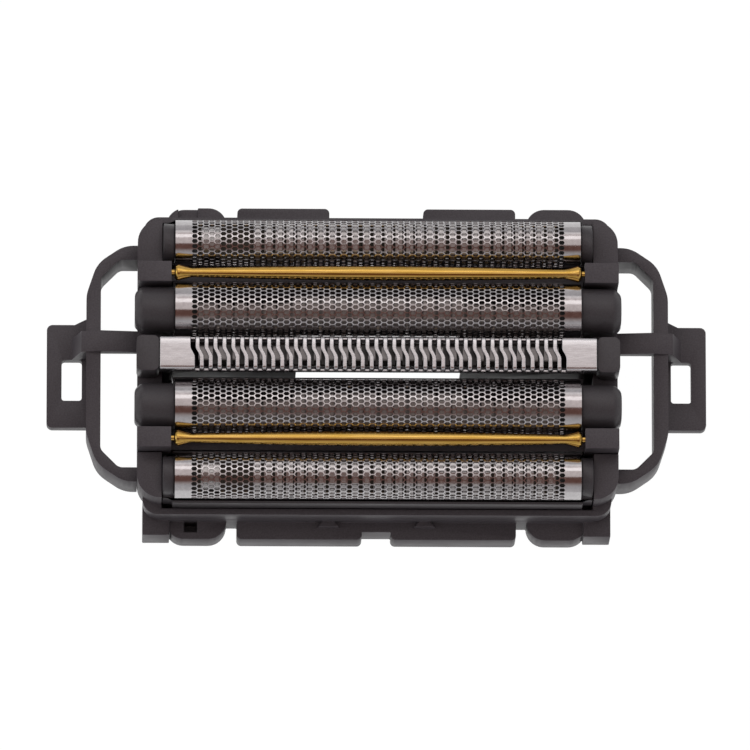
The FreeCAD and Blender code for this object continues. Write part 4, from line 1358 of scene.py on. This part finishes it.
@dataclass
class Studio:
    """Floor, world, lamps and camera.

    The room's colours go by how far up a ray points, from 0 at eye level to 1 overhead.
    The direction points from the target to the camera.
    """

    target: tuple[float, float, float] = (-0.36, -2.22, 13.7)
    direction: tuple[float, float, float] = (-0.022, -0.2079, 0.978)
    distance: float = 1400.0
    view_width: float = 77.5
    sensor: float = 36.0
    floor_drop: float = 0.02
    floor_reach: float = 1500.0
    white: str = "#ffffff"
    paper: str = "#d8d8d8"
    glow: float = 1.04
    glow_share: float = 0.96
    room: tuple[tuple[float, str], ...] = (
        (0.1, "#dcdadb"), (0.5, "#cac8ca"), (0.67, "#b4aaa8"), (0.8, "#77564e"),
    )
    boxes: tuple[SoftBox, ...] = (
        SoftBox("rear_box", (0, 345, 333), 620, 156, 0.66),
        SoftBox("strip_box", (0, 225, 424), 620, 140, 1.6),
        SoftBox("top_box", (0, 40, 478), 620, 256, 0.72),
        SoftBox("left_box", (-430, -20, 250), 260, 300, 0.8),
    )

    def build(self) -> None:
        """Make the studio."""
        self._floor()
        self._world()
        self._lamps()
        self._camera()
        bpy.context.scene.view_settings.view_transform = "Standard"
        LOG.info("studio is ready")

    def _seen_directly(self, tree: bpy.types.NodeTree) -> bpy.types.NodeSocket:
        """Tell the rays that look at the floor from those that only light the head.

        Args:
            tree: The floor's node tree.

        Returns:
            One for a camera, glossy or transmission ray, else zero.
        """
        path = add_node(tree, "ShaderNodeLightPath")
        most = path.outputs["Is Camera Ray"]
        for name in ("Is Glossy Ray", "Is Transmission Ray"):
            pair = {0: most, 1: path.outputs[name]}
            either = add_node(tree, "ShaderNodeMath", {"operation": "MAXIMUM"}, pair)
            most = either.outputs["Value"]
        return most

    def _floor(self) -> None:
        """Make the pale floor, which looks white but keeps a trace of the shadow."""
        low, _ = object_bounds()
        height = low[2] / MM - self.floor_drop
        reach = self.floor_reach
        corners = [(-reach, -reach), (reach, -reach), (reach, reach), (-reach, reach)]
        points = np.array([(x, y, height) for x, y in corners])
        floor = mesh_object("floor", points, np.array([[0, 1, 2, 3]]))
        material = bpy.data.materials.new("pale_paper_floor")
        material.use_nodes = True
        tree = material.node_tree
        tree.nodes.clear()
        matt = add_node(tree, "ShaderNodeBsdfDiffuse", {"Color": linear(self.paper)})
        glow = add_node(
            tree, "ShaderNodeEmission", {"Color": linear(self.white), "Strength": self.glow}
        )
        part = add_node(
            tree, "ShaderNodeMath", {"operation": "MULTIPLY", 1: self.glow_share},
            {0: self._seen_directly(tree)},
        )
        mixed = add_node(
            tree, "ShaderNodeMixShader", {},
            {0: part.outputs["Value"], 1: matt.outputs["BSDF"], 2: glow.outputs["Emission"]},
        )
        add_node(tree, "ShaderNodeOutputMaterial", {}, {"Surface": mixed.outputs["Shader"]})
        floor.data.materials.append(material)
        floor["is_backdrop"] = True

    def _world(self) -> None:
        """Make a plain room: white walls at eye level and a darker warm ceiling."""
        world = bpy.data.worlds.new("studio_room")
        bpy.context.scene.world = world
        world.use_nodes = True
        tree = world.node_tree
        tree.nodes.clear()
        way = add_node(tree, "ShaderNodeTexCoord")
        split = add_node(tree, "ShaderNodeSeparateXYZ", {}, {"Vector": way.outputs["Generated"]})
        walls = add_node(tree, "ShaderNodeValToRGB", {}, {"Fac": split.outputs["Z"]})
        set_ramp(walls, self.room)
        back = add_node(
            tree, "ShaderNodeBackground", {"Strength": 1.0}, {"Color": walls.outputs["Color"]}
        )
        add_node(tree, "ShaderNodeOutputWorld", {}, {"Surface": back.outputs["Background"]})

    def _lamps(self) -> None:
        """Hang the soft boxes, each with a power of brightness times pi times its area."""
        for box in self.boxes:
            light = bpy.data.lights.new(box.name, "AREA")
            light.shape = "RECTANGLE"
            light.size = box.width * MM
            light.size_y = box.depth * MM
            light.energy = box.brightness * math.pi * light.size * light.size_y
            lamp = bpy.data.objects.new(box.name, light)
            lamp.location = Vector(box.place) * MM
            lamp.rotation_euler = Vector(box.place).to_track_quat("Z", "Y").to_euler()
            lamp.visible_camera = False
            bpy.context.scene.collection.objects.link(lamp)

    def _camera(self) -> None:
        """Set the camera at the photograph's angle, upright along Y."""
        way = Vector(self.direction).normalized()
        right = Vector((0, 1, 0)).cross(way).normalized()
        turn = Matrix((right, way.cross(right), way)).transposed()
        data = bpy.data.cameras.new("camera")
        data.sensor_width = self.sensor
        data.lens = self.sensor * self.distance / self.view_width
        camera = bpy.data.objects.new("camera", data)
        camera.location = (Vector(self.target) + way * self.distance) * MM
        camera.rotation_euler = turn.to_euler()
        bpy.context.scene.collection.objects.link(camera)
        bpy.context.scene.camera = camera


def main() -> None:
    """Build the scene."""
    logging.basicConfig(level=logging.INFO, format="%(name)s: %(message)s")
    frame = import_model()
    dresser = Dresser(frame, Wardrobe())
    Studio().build()
    FoilRows(dresser).build()
    CentreBlade(dresser).build()
    Mouldings(dresser).build()
    KeptNodes(dresser).build()


if __name__ == "__main__":
    main()
